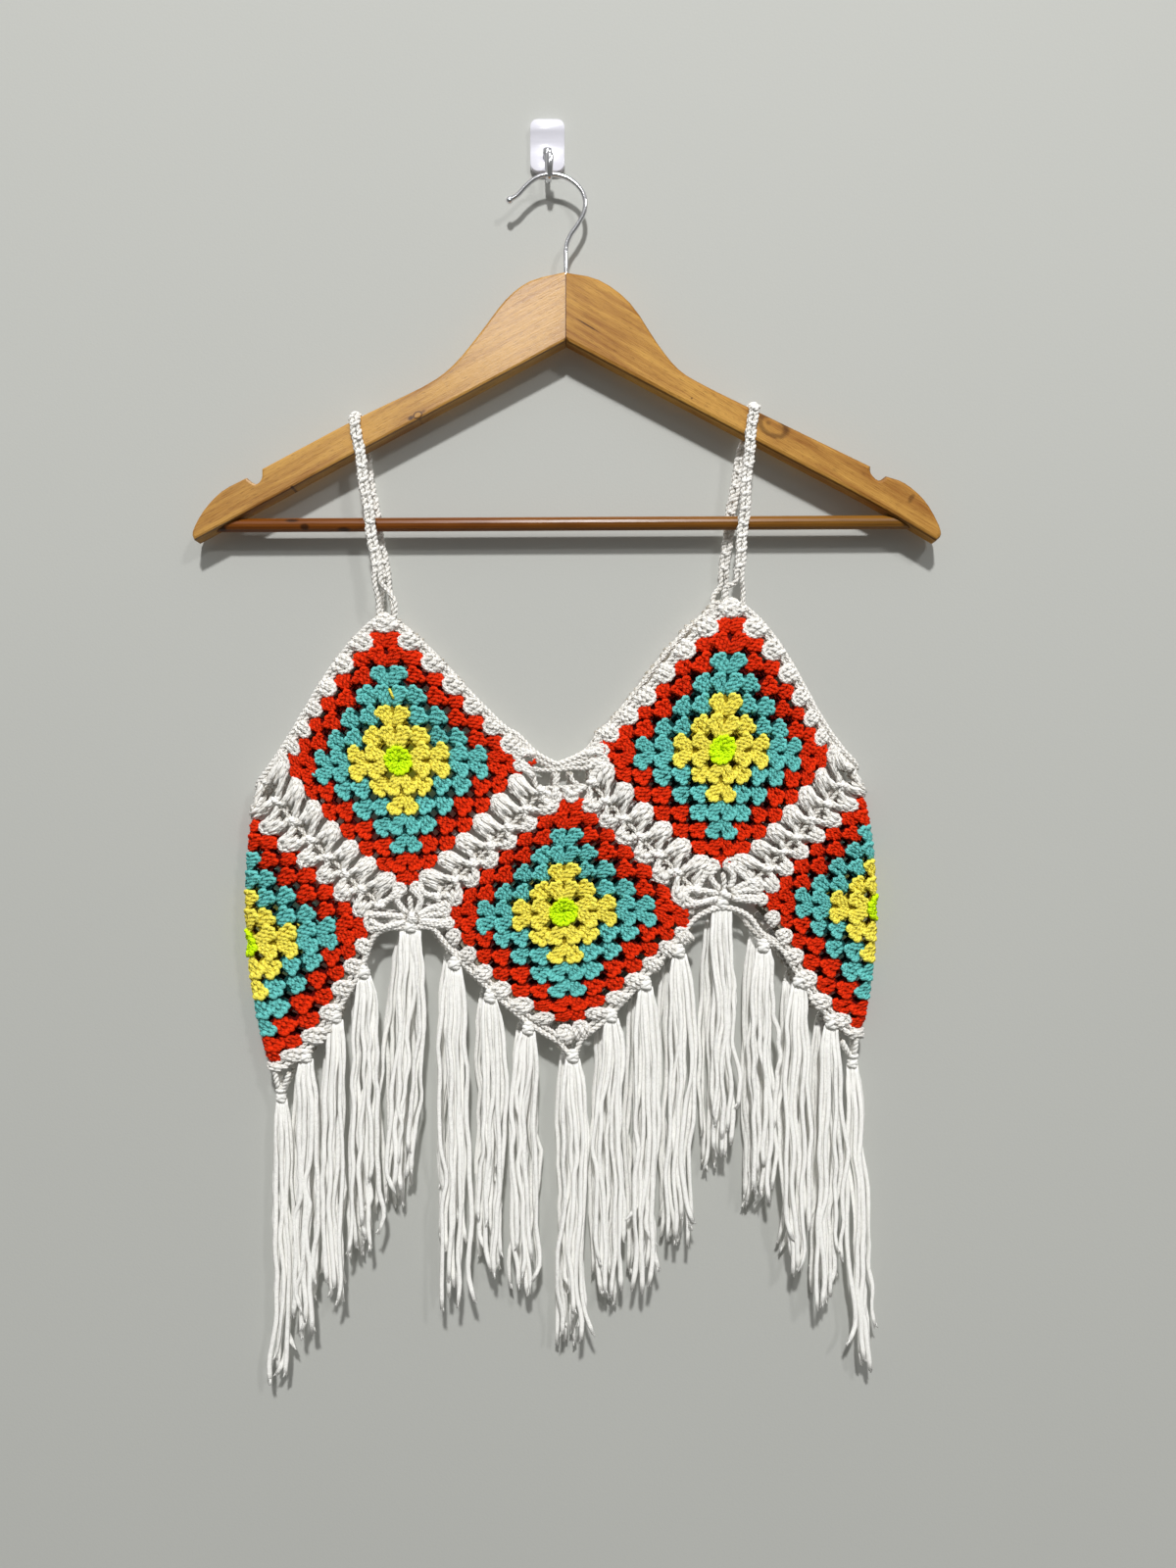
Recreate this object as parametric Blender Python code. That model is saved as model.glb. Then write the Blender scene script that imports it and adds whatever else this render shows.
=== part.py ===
"""Crochet top of eight granny squares with a fringed hem, hung on a wooden hanger from a wall hook.

The squares hang on their corners and join into a flat tube: four in the lower ring, four above it, two
straps over the hanger's arms. +Z is up. The origin is the centre of the wall pad's back face, the wall is
the plane y = 0, and everything hangs in front of it, towards -Y. Sizes below are in millimetres, and
solid() turns them into metres.
"""

import math

import bmesh
import bpy
from mathutils import Vector

MM = 0.001
GAP = 0.3  # between pieces that meet

# Cloth: a flat tube with a front and a back layer and a round fold down each side.
CLOTH = 3.0  # thickness of a crocheted wall
TUBE_Y = -12.0  # halfway between the two layers
FOLD_R = 5.5  # from there to the middle of each layer, and the radius of the side folds
SIDE_BOW = 10.0  # how far each side fold bows out between armhole and hem
EDGING_W = 3.2  # width of the crocheted edging

# Side folds at the middle of the cloth: x and z where the fold starts and ends.
FOLDS = {
    "left": {"top": (-172.0, -393.0), "bottom": (-163.0, -556.0)},
    "right": {"top": (184.5, -380.5), "bottom": (185.5, -537.0)},
}

# Corners where squares meet, on the front layer, and how far the back layer's corner lies to its side.
CORNERS = {
    "left_apex": {"x": -96.5, "z": -287.5, "back_shift": 1.5},
    "neck": {"x": 8.5, "z": -378.0, "back_shift": -2.0},
    "right_apex": {"x": 112.5, "z": -280.0, "back_shift": -8.0},
    "left_flower": {"x": -79.5, "z": -465.5, "back_shift": -4.0},
    "right_flower": {"x": 105.0, "z": -453.0, "back_shift": -4.0},
    "hem_tip": {"x": 14.0, "z": -540.5, "back_shift": -4.0},
}

# Outer edges, clockwise, with how far each bows out of the straight line at a third and two thirds of it.
EDGES = {
    "left_armhole": {"start": "left_arm", "end": "left_apex", "bow_1": 0.5, "bow_2": 4.5},
    "left_neck": {"start": "left_apex", "end": "neck", "bow_1": -0.5, "bow_2": -4.5},
    "right_neck": {"start": "neck", "end": "right_apex", "bow_1": -4.0, "bow_2": 1.5},
    "right_armhole": {"start": "right_apex", "end": "right_arm", "bow_1": 3.5, "bow_2": -2.0},
    "right_side_hem": {"start": "right_hem", "end": "right_flower", "bow_1": 3.0, "bow_2": -5.0},
    "tip_right_hem": {"start": "right_flower", "end": "hem_tip", "bow_1": -1.0, "bow_2": 2.0},
    "tip_left_hem": {"start": "hem_tip", "end": "left_flower", "bow_1": 4.0, "bow_2": 1.0},
    "left_side_hem": {"start": "left_flower", "end": "left_hem", "bow_1": -2.0, "bow_2": 7.0},
}

# Squares by their corners in order round the square, with a mesh line at each of these parts of its side.
# An upper square's first corner is at a fold, and its lines are closer together there.
SIDE_LINES = [k / 16 for k in range(17)]
UPPER_LINES = [k / 16 for k in (0, 1, 2, 3, 4, 6, 8, 10, 12, 14, 16)]
LOWER_LINES = [k / 8 for k in range(9)]
UPPER_LEFT = ("left_arm", "left_apex", "neck", "left_flower")
UPPER_RIGHT = ("right_arm", "right_apex", "neck", "right_flower")
LOWER_CENTRE = ("neck", "right_flower", "hem_tip", "left_flower")

# Tassels along the hem: x at the hem, and z of the longest strand's end, on the front and on the back.
TASSELS = [
    {"x": -142.5, "front_end": -715.0, "back_end": -700.0},
    {"x": -125.0, "front_end": -694.0, "back_end": -688.0},
    {"x": -108.0, "front_end": -664.0, "back_end": -670.0},
    {"x": -81.0, "front_end": -629.0, "back_end": -640.0},
    {"x": -55.0, "front_end": -697.0, "back_end": -660.0},
    {"x": -33.5, "front_end": -677.0, "back_end": -672.0},
    {"x": -11.0, "front_end": -689.0, "back_end": -690.0},
    {"x": 16.5, "front_end": -715.0, "back_end": -724.0},
    {"x": 38.5, "front_end": -690.0, "back_end": -700.0},
    {"x": 59.0, "front_end": -687.0, "back_end": -680.0},
    {"x": 78.5, "front_end": -660.0, "back_end": -662.0},
    {"x": 104.0, "front_end": -607.0, "back_end": -618.0},
    {"x": 128.5, "front_end": -633.0, "back_end": -642.0},
    {"x": 149.5, "front_end": -677.0, "back_end": -668.0},
    {"x": 168.0, "front_end": -697.0, "back_end": -692.0},
]
CORNER_TASSEL_ENDS = {"left": -743.0, "right": -736.0}
BACK_TASSEL_SHIFT = -6.0
# The form of a tassel: how far down it, and its width and depth there.
TASSEL_FORM = [
    {"down": 0.00, "width": 4.5, "depth": 3.4},
    {"down": 0.04, "width": 6.0, "depth": 4.2},
    {"down": 0.16, "width": 10.5, "depth": 4.4},
    {"down": 0.55, "width": 12.5, "depth": 4.4},
    {"down": 0.94, "width": 13.0, "depth": 4.4},
    {"down": 1.00, "width": 10.0, "depth": 3.2},
]
TASSEL_SIDES = 8

# Hanger: two arms with a glue line between them, a round bar and a wire hook.
HANGER_X = 11.4  # the glue line
HANGER_FRONT, HANGER_BACK = -18.7, -5.3
HANGER_ROUNDING = 2.2
# Each arm's outline from the top of the glue line to its foot. A "corner" row is a sharp turn, and the
# rows between corners lie on one smooth line.
LEFT_ARM = [
    {"x": HANGER_X, "z": -82.7, "turn": "corner"},
    {"x": -9.6, "z": -88.0, "turn": "smooth"},
    {"x": -24.4, "z": -99.2, "turn": "smooth"},
    {"x": -39.2, "z": -118.5, "turn": "smooth"},
    {"x": -55.5, "z": -138.0, "turn": "smooth"},
    {"x": -73.0, "z": -150.5, "turn": "smooth"},
    {"x": -111.2, "z": -169.0, "turn": "smooth"},
    {"x": -168.6, "z": -199.5, "turn": "corner"},
    {"x": -168.9, "z": -205.0, "turn": "smooth"},
    {"x": -171.4, "z": -208.2, "turn": "smooth"},
    {"x": -174.2, "z": -207.6, "turn": "smooth"},
    {"x": -177.7, "z": -204.7, "turn": "corner"},
    {"x": -192.5, "z": -212.7, "turn": "smooth"},
    {"x": -203.5, "z": -224.4, "turn": "smooth"},
    {"x": -209.8, "z": -236.5, "turn": "smooth"},
    {"x": -208.8, "z": -241.7, "turn": "corner"},
    {"x": -157.0, "z": -214.0, "turn": "smooth"},
    {"x": -123.4, "z": -195.6, "turn": "smooth"},
    {"x": HANGER_X, "z": -123.7, "turn": "corner"},
]
RIGHT_ARM = [
    {"x": HANGER_X, "z": -82.7, "turn": "corner"},
    {"x": 31.0, "z": -87.0, "turn": "smooth"},
    {"x": 49.6, "z": -100.7, "turn": "smooth"},
    {"x": 66.0, "z": -125.0, "turn": "smooth"},
    {"x": 78.5, "z": -140.2, "turn": "smooth"},
    {"x": 94.0, "z": -149.8, "turn": "smooth"},
    {"x": 125.6, "z": -165.4, "turn": "smooth"},
    {"x": 192.1, "z": -197.8, "turn": "corner"},
    {"x": 192.6, "z": -202.0, "turn": "smooth"},
    {"x": 197.0, "z": -206.1, "turn": "smooth"},
    {"x": 201.4, "z": -203.6, "turn": "corner"},
    {"x": 212.5, "z": -207.6, "turn": "smooth"},
    {"x": 224.0, "z": -217.4, "turn": "smooth"},
    {"x": 231.6, "z": -229.8, "turn": "smooth"},
    {"x": 234.2, "z": -238.0, "turn": "smooth"},
    {"x": 231.2, "z": -242.0, "turn": "corner"},
    {"x": 192.8, "z": -219.4, "turn": "smooth"},
    {"x": 140.0, "z": -191.6, "turn": "smooth"},
    {"x": HANGER_X, "z": -123.7, "turn": "corner"},
]
ARM_STEPS = 3  # mesh steps between two smooth rows
BAR_R = 4.1
BAR_SIDES = 16
# The ends of the bar's axis, and the rise of the arm's underside, which the end is cut to.
BAR_ENDS = {
    "left": {"x": -189.5, "z": -231.8, "rise": 0.535},
    "right": {"x": 209.8, "z": -229.9, "rise": -0.588},
}

HOOK_R = 1.4
HOOK_BALL_R = 2.1
HOOK_STEM_DEPTH = 18.0  # how far the stem goes down between the arms
# The wire's route from the tip of its curl to the top of its stem.
HOOK_ROUTE = [
    {"x": -22.3, "z": -37.4},
    {"x": -17.4, "z": -34.3},
    {"x": -12.3, "z": -28.8},
    {"x": -5.6, "z": -23.8},
    {"x": 2.2, "z": -22.1},
    {"x": 10.0, "z": -23.3},
    {"x": 17.4, "z": -27.6},
    {"x": 22.2, "z": -34.6},
    {"x": 22.6, "z": -43.4},
    {"x": 18.6, "z": -51.8},
    {"x": 13.7, "z": -59.0},
    {"x": 11.4, "z": -66.5},
    {"x": 11.4, "z": -76.0},
]

PAD_W, PAD_H, PAD_D = 20.8, 31.6, 4.5
PAD_CORNER_R = 5.0
# The flat peg's route: down the pad behind the hanger's wire, forward under it and up in front of it.
PEG_ROUTE = [
    {"x": 0.2, "y": -6.1, "z": -2.8, "width": 3.0, "thick": 1.2},
    {"x": 0.2, "y": -6.1, "z": -3.6, "width": 5.4, "thick": 2.5},
    {"x": 0.1, "y": -6.1, "z": -6.6, "width": 5.6, "thick": 2.6},
    {"x": 0.0, "y": -6.1, "z": -8.6, "width": 3.6, "thick": 2.6},
    {"x": 0.2, "y": -6.2, "z": -20.0, "width": 3.2, "thick": 2.6},
    {"x": 0.8, "y": -8.4, "z": -24.2, "width": 3.2, "thick": 2.6},
    {"x": 1.4, "y": -12.0, "z": -25.3, "width": 3.2, "thick": 2.6},
    {"x": 1.8, "y": -15.6, "z": -23.8, "width": 3.4, "thick": 2.6},
    {"x": 1.9, "y": -17.4, "z": -19.6, "width": 4.0, "thick": 2.6},
    {"x": 1.9, "y": -17.6, "z": -14.0, "width": 4.8, "thick": 2.6},
    {"x": 1.9, "y": -17.6, "z": -12.2, "width": 3.8, "thick": 2.2},
    {"x": 1.9, "y": -17.6, "z": -11.6, "width": 1.6, "thick": 1.0},
]

STRAP_W, STRAP_D = 6.8, 3.0
STRAP_FOOT_W = 12.0  # where a strap splits and joins the apex
STRAP_TURN_R = HANGER_ROUNDING + GAP + STRAP_D / 2  # the bend over the arm's rounded edge
# Each strap: x where it crosses the arm, and x on the way down, on the front and on the back.
STRAPS = {
    "left": {"top": -113.0, "front": [-109.3, -104.2, -99.6], "back": [-108.6, -103.0, -97.5]},
    "right": {"top": 122.5, "front": [119.0, 116.5, 113.5], "back": [115.5, 110.0, 106.5]},
}
STRAP_HEIGHTS = [-197.0, -231.0, -262.0]  # z of those x
STRAP_FOOT_START = -266.0

COLOURS = {
    "wood": (0.45, 0.24, 0.08),
    "bar_wood": (0.30, 0.12, 0.04),
    "steel": (0.70, 0.70, 0.72),
    "clear_plastic": (0.85, 0.87, 0.90),
    "square_yarn": (0.75, 0.06, 0.02),
    "white_yarn": (0.85, 0.84, 0.78),
}


def material(name, roughness, metallic=0.0):
    made = bpy.data.materials.new(name)
    made.use_nodes = True
    shader = made.node_tree.nodes["Principled BSDF"]
    shader.inputs["Base Color"].default_value = (*COLOURS[name], 1.0)
    shader.inputs["Roughness"].default_value = roughness
    shader.inputs["Metallic"].default_value = metallic
    return made


def solid(name, points, faces, look):
    """Make one closed object of points in millimetres, with its faces turned outwards."""
    mesh = bpy.data.meshes.new(name)
    shape = bmesh.new()
    corners = [shape.verts.new(Vector(p) * MM) for p in points]
    for face in faces:
        shape.faces.new([corners[i] for i in face])
    bmesh.ops.recalc_face_normals(shape, faces=shape.faces)
    bent = [face for face in shape.faces if len(face.verts) == 4]
    bmesh.ops.triangulate(shape, faces=bent, quad_method="SHORT_EDGE")
    shape.to_mesh(mesh)
    shape.free()
    made = bpy.data.objects.new(name, mesh)
    bpy.context.collection.objects.link(made)
    mesh.materials.append(look)
    mesh.shade_smooth()
    mesh.set_sharp_from_angle(angle=math.radians(40))
    return made


def rings_solid(name, rings, look, closed=False, caps=None):
    """Skin a row of rings of equal size, with end caps, or round in a loop if closed.

    A cap is one face, or the faces in caps, each a tuple of places in the ring.
    """
    size = len(rings[0])
    points = [p for ring in rings for p in ring]
    faces = []
    for row in range(len(rings) if closed else len(rings) - 1):
        here, there = row * size, (row + 1) % len(rings) * size
        for k in range(size):
            after = (k + 1) % size
            faces.append((here + k, here + after, there + after, there + k))
    last = (len(rings) - 1) * size
    for cap in () if closed else caps or [tuple(range(size))]:
        faces.append(tuple(reversed(cap)))
        faces.append(tuple(last + k for k in cap))
    return solid(name, points, faces, look)


def smooth_route(knots, steps):
    """Points on a Catmull-Rom curve through the knots, with steps points for each stretch."""
    knots = [Vector(k) for k in knots]
    knots = [2 * knots[0] - knots[1], *knots, 2 * knots[-1] - knots[-2]]
    route = []
    for before, start, end, after in zip(knots, knots[1:], knots[2:], knots[3:]):
        for k in range(steps):
            t = k / steps
            bend = 2 * before - 5 * start + 4 * end - after
            twist = 3 * start - before - 3 * end + after
            route.append((2 * start + (end - before) * t + bend * t**2 + twist * t**3) / 2)
    return route + [knots[-2]]


# The tube of cloth ---------------------------------------------------------------------------------------


def fold_line(side, z):
    """x of a side's fold, at the middle of the cloth."""
    (top_x, top_z), (bottom_x, bottom_z) = FOLDS[side]["top"], FOLDS[side]["bottom"]
    down = (top_z - z) / (top_z - bottom_z)
    bow = 4 * SIDE_BOW * max(0.0, min(1.0, down)) * (1 - max(0.0, min(1.0, down)))
    return top_x + (bottom_x - top_x) * down + (bow if side == "right" else -bow)


def fold_reach(side, z):
    """x of the same fold on the cloth laid flat, which is longer by the round of the fold."""
    longer = (math.pi / 2 - 1) * FOLD_R
    return fold_line(side, z) + (longer if side == "right" else -longer)


def mirrored(side, spot):
    """The place on a layer laid flat that lies as far past a side's fold as spot lies before it."""
    return Vector((2 * fold_reach(side, spot[1]) - spot[0], spot[1]))


def place(spot, out=0.0, back=False):
    """The point of the tube at a place (x, z) of a layer laid flat, moved out of the tube by out."""
    x, z = spot
    layer = 1 if back else -1
    if x < fold_reach("left", z):
        x, layer = 2 * fold_reach("left", z) - x, -layer
    elif x > fold_reach("right", z):
        x, layer = 2 * fold_reach("right", z) - x, -layer
    turn, centre, way = 0.0, x, 1
    left_centre = fold_line("left", z) + FOLD_R
    right_centre = fold_line("right", z) - FOLD_R
    if x < left_centre:
        turn, centre, way = (left_centre - x) / FOLD_R, left_centre, -1
    elif x > right_centre:
        turn, centre, way = (x - right_centre) / FOLD_R, right_centre, 1
    reach = FOLD_R + out
    return (centre + way * reach * math.sin(turn), TUBE_Y + layer * reach * math.cos(turn), z)


def corner(name, back=False):
    """A named corner of the squares as (x, z) on a layer laid flat."""
    side, _, where = name.partition("_")
    if where in ("arm", "hem"):
        z = FOLDS[side]["top" if where == "arm" else "bottom"][1]
        return Vector((fold_reach(side, z), z))
    row = CORNERS[name]
    return Vector((row["x"] + (row["back_shift"] if back else 0.0), row["z"]))


def bowed(start, end, bow_1, bow_2, t):
    """A point on a line that bows to its left by bow_1 at a third of the way and bow_2 at two thirds."""
    along = end - start
    normal = Vector((-along.y, along.x)).normalized()
    lift = 13.5 * t * (t - 1) * (bow_1 * (t - 2 / 3) - bow_2 * (t - 1 / 3))
    return start + along * t + normal * lift


def edge_point(first, second, t, back=False):
    """A point on the line from one named corner to another, bowed where it is an outer edge."""
    for row in EDGES.values():
        if (row["start"], row["end"]) == (first, second):
            return bowed(corner(first, back), corner(second, back), row["bow_1"], row["bow_2"], t)
        if (row["start"], row["end"]) == (second, first):
            return bowed(corner(second, back), corner(first, back), row["bow_1"], row["bow_2"], 1 - t)
    return corner(first, back).lerp(corner(second, back), t)


def patch(edges, u, v):
    """A point inside four edges (a to b, d to c, a to d, b to c), blended from all of them."""
    low, high, near, far = edges
    across = low(u).lerp(high(u), v) + near(v).lerp(far(v), u)
    return across - low(0).lerp(low(1), u).lerp(high(0).lerp(high(1), u), v)


def square(name, edges, lines, look, back=False):
    """A granny square as a wall between its four edges, half a gap smaller at each seam."""
    inset = GAP / 2 / 125.0  # a square's side is about 125 mm
    lines = [inset + (1 - 2 * inset) * k for k in lines]
    spots = [[patch(edges, u, v) for u in lines] for v in lines]
    count = len(lines)
    points = [place(s, CLOTH / 2, back) for row in spots for s in row]
    points += [place(s, -CLOTH / 2, back) for row in spots for s in row]
    inner = count * count
    faces = []
    for j in range(count - 1):
        for i in range(count - 1):
            a = j * count + i
            faces.append((a, a + 1, a + count + 1, a + count))
            faces.append((inner + a, inner + a + count, inner + a + count + 1, inner + a + 1))
    rim = [i for i in range(count)]
    rim += [j * count + count - 1 for j in range(1, count)]
    rim += [inner - 1 - i for i in range(1, count)]
    rim += [j * count for j in range(count - 2, 0, -1)]
    for k, a in enumerate(rim):
        b = rim[(k + 1) % len(rim)]
        faces.append((a, inner + a, inner + b, b))
    return solid(name, points, faces, look)


def flat_square(name, names, lines, look, back):
    a, b, c, d = names
    edges = [
        lambda t: edge_point(a, b, t, back),
        lambda t: edge_point(d, c, t, back),
        lambda t: edge_point(a, d, t, back),
        lambda t: edge_point(b, c, t, back),
    ]
    return square(name, edges, lines, look, back)


def side_square(name, side, look):
    """A square that wraps round a side fold, from its front corner to its back corner."""
    arm, flower, hem = side + "_arm", side + "_flower", side + "_hem"
    edges = [
        lambda t: edge_point(arm, flower, t),
        lambda t: mirrored(side, edge_point(flower, hem, t, True)),
        lambda t: mirrored(side, edge_point(arm, flower, t, True)),
        lambda t: edge_point(flower, hem, t),
    ]
    return square(name, edges, SIDE_LINES, look)


def edge_lines(first, second):
    """The mesh lines that cross an outer edge, as parts of its length."""
    if first.endswith("_arm") or second.endswith("_arm") or "neck" in (first, second):
        lines = UPPER_LINES
    elif first.endswith("_hem") or second.endswith("_hem"):
        lines = SIDE_LINES
    else:
        lines = LOWER_LINES
    if second.endswith("_arm") or first == "neck":
        return [1 - t for t in reversed(lines)]
    return lines


def outline(names, back):
    """Points along a run of outer edges, and the place of each named corner among them."""
    points, marks = [corner(names[0], back)], {names[0]: 0}
    for first, second in zip(names, names[1:]):
        points += [edge_point(first, second, t, back) for t in edge_lines(first, second)[1:]]
        marks[second] = len(points) - 1
    return points, marks


def offset(points, width):
    """The points moved out to the left of their line, mitred, with folds at both ends of the line."""
    ways = [(b - a).normalized() for a, b in zip(points, points[1:])]
    first, last = ways[0], ways[-1]
    ways = [Vector((first.x, -first.y)), *ways, Vector((last.x, -last.y))]
    moved = []
    for point, before, after in zip(points, ways, ways[1:]):
        before_out, after_out = Vector((-before.y, before.x)), Vector((-after.y, after.x))
        mitre = (before_out + after_out).normalized()
        moved.append(point + mitre * (width / mitre.dot(after_out)))
    return moved


TOP_RUN = ("left_arm", "left_apex", "neck", "right_apex", "right_arm")
HEM_RUN = ("right_hem", "right_flower", "hem_tip", "left_flower", "left_hem")


def edging_rings(names, back):
    """Rings of the edging along a run, one for each point, and the places of the corners among them."""
    points, marks = outline(names, back)
    rings = []
    for near, far in zip(offset(points, GAP), offset(points, GAP + EDGING_W)):
        half = CLOTH / 2
        rings.append([(near, half), (far, half), (far, -half), (near, -half)])
    return rings, marks


def placed(ring, back):
    return [place(spot, out, back) for spot, out in ring]


def eased(rings):
    """The rings with the first and last moved in by half a gap, where the edging meets its neighbour."""
    eased_rings = [list(ring) for ring in rings]
    for end, other in ((0, 1), (-1, -2)):
        for k, (spot, out) in enumerate(rings[end]):
            along = (rings[other][k][0] - spot).normalized()
            eased_rings[end][k] = (spot + along * GAP / 2 * 1.5, out)
    return eased_rings


def make_edgings(look):
    front, marks = edging_rings(TOP_RUN, False)
    back, _ = edging_rings(TOP_RUN, True)
    left, right = marks["left_apex"], marks["right_apex"]
    for name, rings, behind in (("neck_edging_front", front, False), ("neck_edging_back", back, True)):
        neck = [placed(ring, behind) for ring in eased(rings[left : right + 1])]
        rings_solid(name, neck, look)
    for side, part in (("left", slice(0, left + 1)), ("right", slice(right, None))):
        near = [placed(ring, False) for ring in eased_at(front[part], side)]
        far = [placed(ring, True) for ring in eased_at(back[part], side)]
        if side == "left":
            armhole = far[::-1] + near[1:]
        else:
            armhole = near + far[-2::-1]
        rings_solid("armhole_edging_" + side, armhole, look)
    front, _ = edging_rings(HEM_RUN, False)
    back, _ = edging_rings(HEM_RUN, True)
    hem = [placed(ring, False) for ring in front] + [placed(ring, True) for ring in back[-2:0:-1]]
    rings_solid("hem_edging", hem, look, closed=True)


def eased_at(rings, side):
    """Like eased, but only at the apex: a left armhole ends there, and a right one starts there."""
    eased_rings = eased(rings)
    if side == "left":
        return [rings[0], *eased_rings[1:]]
    return [*eased_rings[:-1], rings[-1]]


def outer_line(names, back):
    """The outside of an edging as points of x and z, in order of x."""
    points, _ = outline(names, back)
    return sorted(offset(points, GAP + EDGING_W), key=lambda p: p.x)


def height_at(line, x):
    """z of a line of points at x."""
    for a, b in zip(line, line[1:]):
        if a.x <= x <= b.x:
            return a.y + (b.y - a.y) * (x - a.x) / (b.x - a.x)
    return (line[0] if x < line[0].x else line[-1]).y


def cleared(line, x, reach):
    """z just above a line within reach of x."""
    return max(height_at(line, x + shift) for shift in (-reach, 0.0, reach)) + GAP * 1.2


# Tassels -------------------------------------------------------------------------------------------------


def tassel(name, x, y, top, end, look, slim=1.0):
    """One tassel as the solid of its strands' reach, hanging straight down from the hem."""
    rings = []
    for row in TASSEL_FORM:
        z = top + (end - top) * row["down"]
        ring = []
        for k in range(TASSEL_SIDES):
            turn = 2 * math.pi * (k + 0.5) / TASSEL_SIDES
            across = row["width"] * slim / 2 * math.cos(turn)
            deep = row["depth"] / 2 * math.sin(turn)
            ring.append((x + across, y + deep, z))
        rings.append(ring)
    return rings_solid(name, rings, look)


def hem_top(line, x):
    """The highest z at which a tassel's head clears the hem above it."""
    half = TASSEL_FORM[0]["width"] / 2
    return min(height_at(line, x + shift) for shift in (-half, 0.0, half)) - GAP


def make_tassels(look):
    front, back = outer_line(HEM_RUN, False), outer_line(HEM_RUN, True)
    for k, row in enumerate(TASSELS, 1):
        x, behind_x = row["x"], row["x"] + BACK_TASSEL_SHIFT
        front_top, back_top = hem_top(front, x), hem_top(back, behind_x)
        tassel(f"tassel_front_{k:02d}", x, TUBE_Y - FOLD_R, front_top, row["front_end"], look)
        tassel(f"tassel_back_{k:02d}", behind_x, TUBE_Y + FOLD_R, back_top, row["back_end"], look)
    for side, end in CORNER_TASSEL_ENDS.items():
        hem, _ = outline(HEM_RUN, False)
        tip = offset(hem, GAP + EDGING_W)[0 if side == "right" else -1]
        tassel(f"tassel_corner_{side}", fold_line(side, tip.y), TUBE_Y, tip.y - GAP, end, look, slim=0.7)


# Straps --------------------------------------------------------------------------------------------------


def strap(side, arm, look):
    """A strap from the front apex up over the hanger's arm and down to the back apex."""
    row = STRAPS[side]
    half_d = STRAP_D / 2
    front_y, back_y = HANGER_FRONT - GAP - half_d, HANGER_BACK + GAP + half_d
    top_x = row["top"]
    slope = (height_at(arm, top_x + 3) - height_at(arm, top_x - 3)) / 6
    top_z = height_at(arm, top_x) + (1.4 * GAP + half_d) * math.hypot(1, slope)
    ring_rows = []

    def run(xs, y, tube_y, back):
        """One run from just under the bend down to the apex, as (x, y, z, half width, tilt)."""
        knots = [(top_x, y, top_z - STRAP_TURN_R)]
        knots += [(x, y, z) for x, z in zip(xs, STRAP_HEIGHTS)]
        line = outer_line(TOP_RUN, back)
        half_line = [p for p in line if (p.x > 0) == (top_x > 0)]
        apex = max(half_line, key=lambda p: p.y)
        foot_z = apex.y + GAP
        knots[-1] = (xs[-1], y + (tube_y - y) * 0.55, STRAP_HEIGHTS[-1])
        knots.append((apex.x, tube_y, foot_z))
        rows = []
        for p in smooth_route(knots, 5):
            spread = max(0.0, min(1.0, (STRAP_FOOT_START - p.z) / (STRAP_FOOT_START - foot_z)))
            width = STRAP_W + (STRAP_FOOT_W - STRAP_W) * spread
            tilt = max(0.0, 1 - (top_z - p.z) / 25) * slope
            rows.append([p.x, p.y, p.z, width / 2, tilt, 0.0])
        rows[-1][5] = 1.0
        return rows, line

    front_rows, front_line = run(row["front"], front_y, TUBE_Y - FOLD_R, False)
    back_rows, back_line = run(row["back"], back_y, TUBE_Y + FOLD_R, True)

    def ring(centre_x, y, z, half_w, tilt, foot, way_y, way_z, line):
        """Six points: outer face left, middle, right, then inner face right, middle, left."""
        points = []
        for face in (1, -1):
            for across in (-1, 0, 1) if face == 1 else (1, 0, -1):
                x = centre_x + across * half_w
                drop = cleared(line, x, 0.5) - z if foot else across * half_w * tilt
                points.append((x, y + way_y * half_d * face, z + drop + way_z * half_d * face))
        return points

    for x, y, z, half_w, tilt, foot in reversed(front_rows):
        ring_rows.append(ring(x, y, z, half_w, tilt, foot, -1, 0, front_line))
    bend_front, bend_back = front_y + STRAP_TURN_R, back_y - STRAP_TURN_R
    for k in range(1, 5):
        turn = math.radians(22.5 * k)
        y = bend_front - STRAP_TURN_R * math.cos(turn)
        z = top_z - STRAP_TURN_R + STRAP_TURN_R * math.sin(turn)
        ring_rows.append(ring(top_x, y, z, STRAP_W / 2, slope, 0, -math.cos(turn), math.sin(turn), None))
    for k in range(4):
        turn = math.radians(90 - 22.5 * k)
        y = bend_back + STRAP_TURN_R * math.cos(turn)
        z = top_z - STRAP_TURN_R + STRAP_TURN_R * math.sin(turn)
        ring_rows.append(ring(top_x, y, z, STRAP_W / 2, slope, 0, math.cos(turn), math.sin(turn), None))
    for x, y, z, half_w, tilt, foot in back_rows:
        ring_rows.append(ring(x, y, z, half_w, tilt, foot, 1, 0, back_line))
    return rings_solid("strap_" + side, ring_rows, look, caps=[(0, 1, 4, 5), (1, 2, 3, 4)])


# Hanger and wall hook ------------------------------------------------------------------------------------


def arm_outline(rows):
    """The outline of an arm, with smooth stretches between its corners."""
    corners = [k for k, row in enumerate(rows) if row["turn"] == "corner"]
    points = []
    for first, last in zip(corners, corners[1:]):
        knots = [(row["x"], row["z"]) for row in rows[first : last + 1]]
        steps = ARM_STEPS if len(knots) > 2 else 1
        points += smooth_route(knots, steps)[:-1]
    return points + [Vector((rows[-1]["x"], rows[-1]["z"]))]


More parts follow.
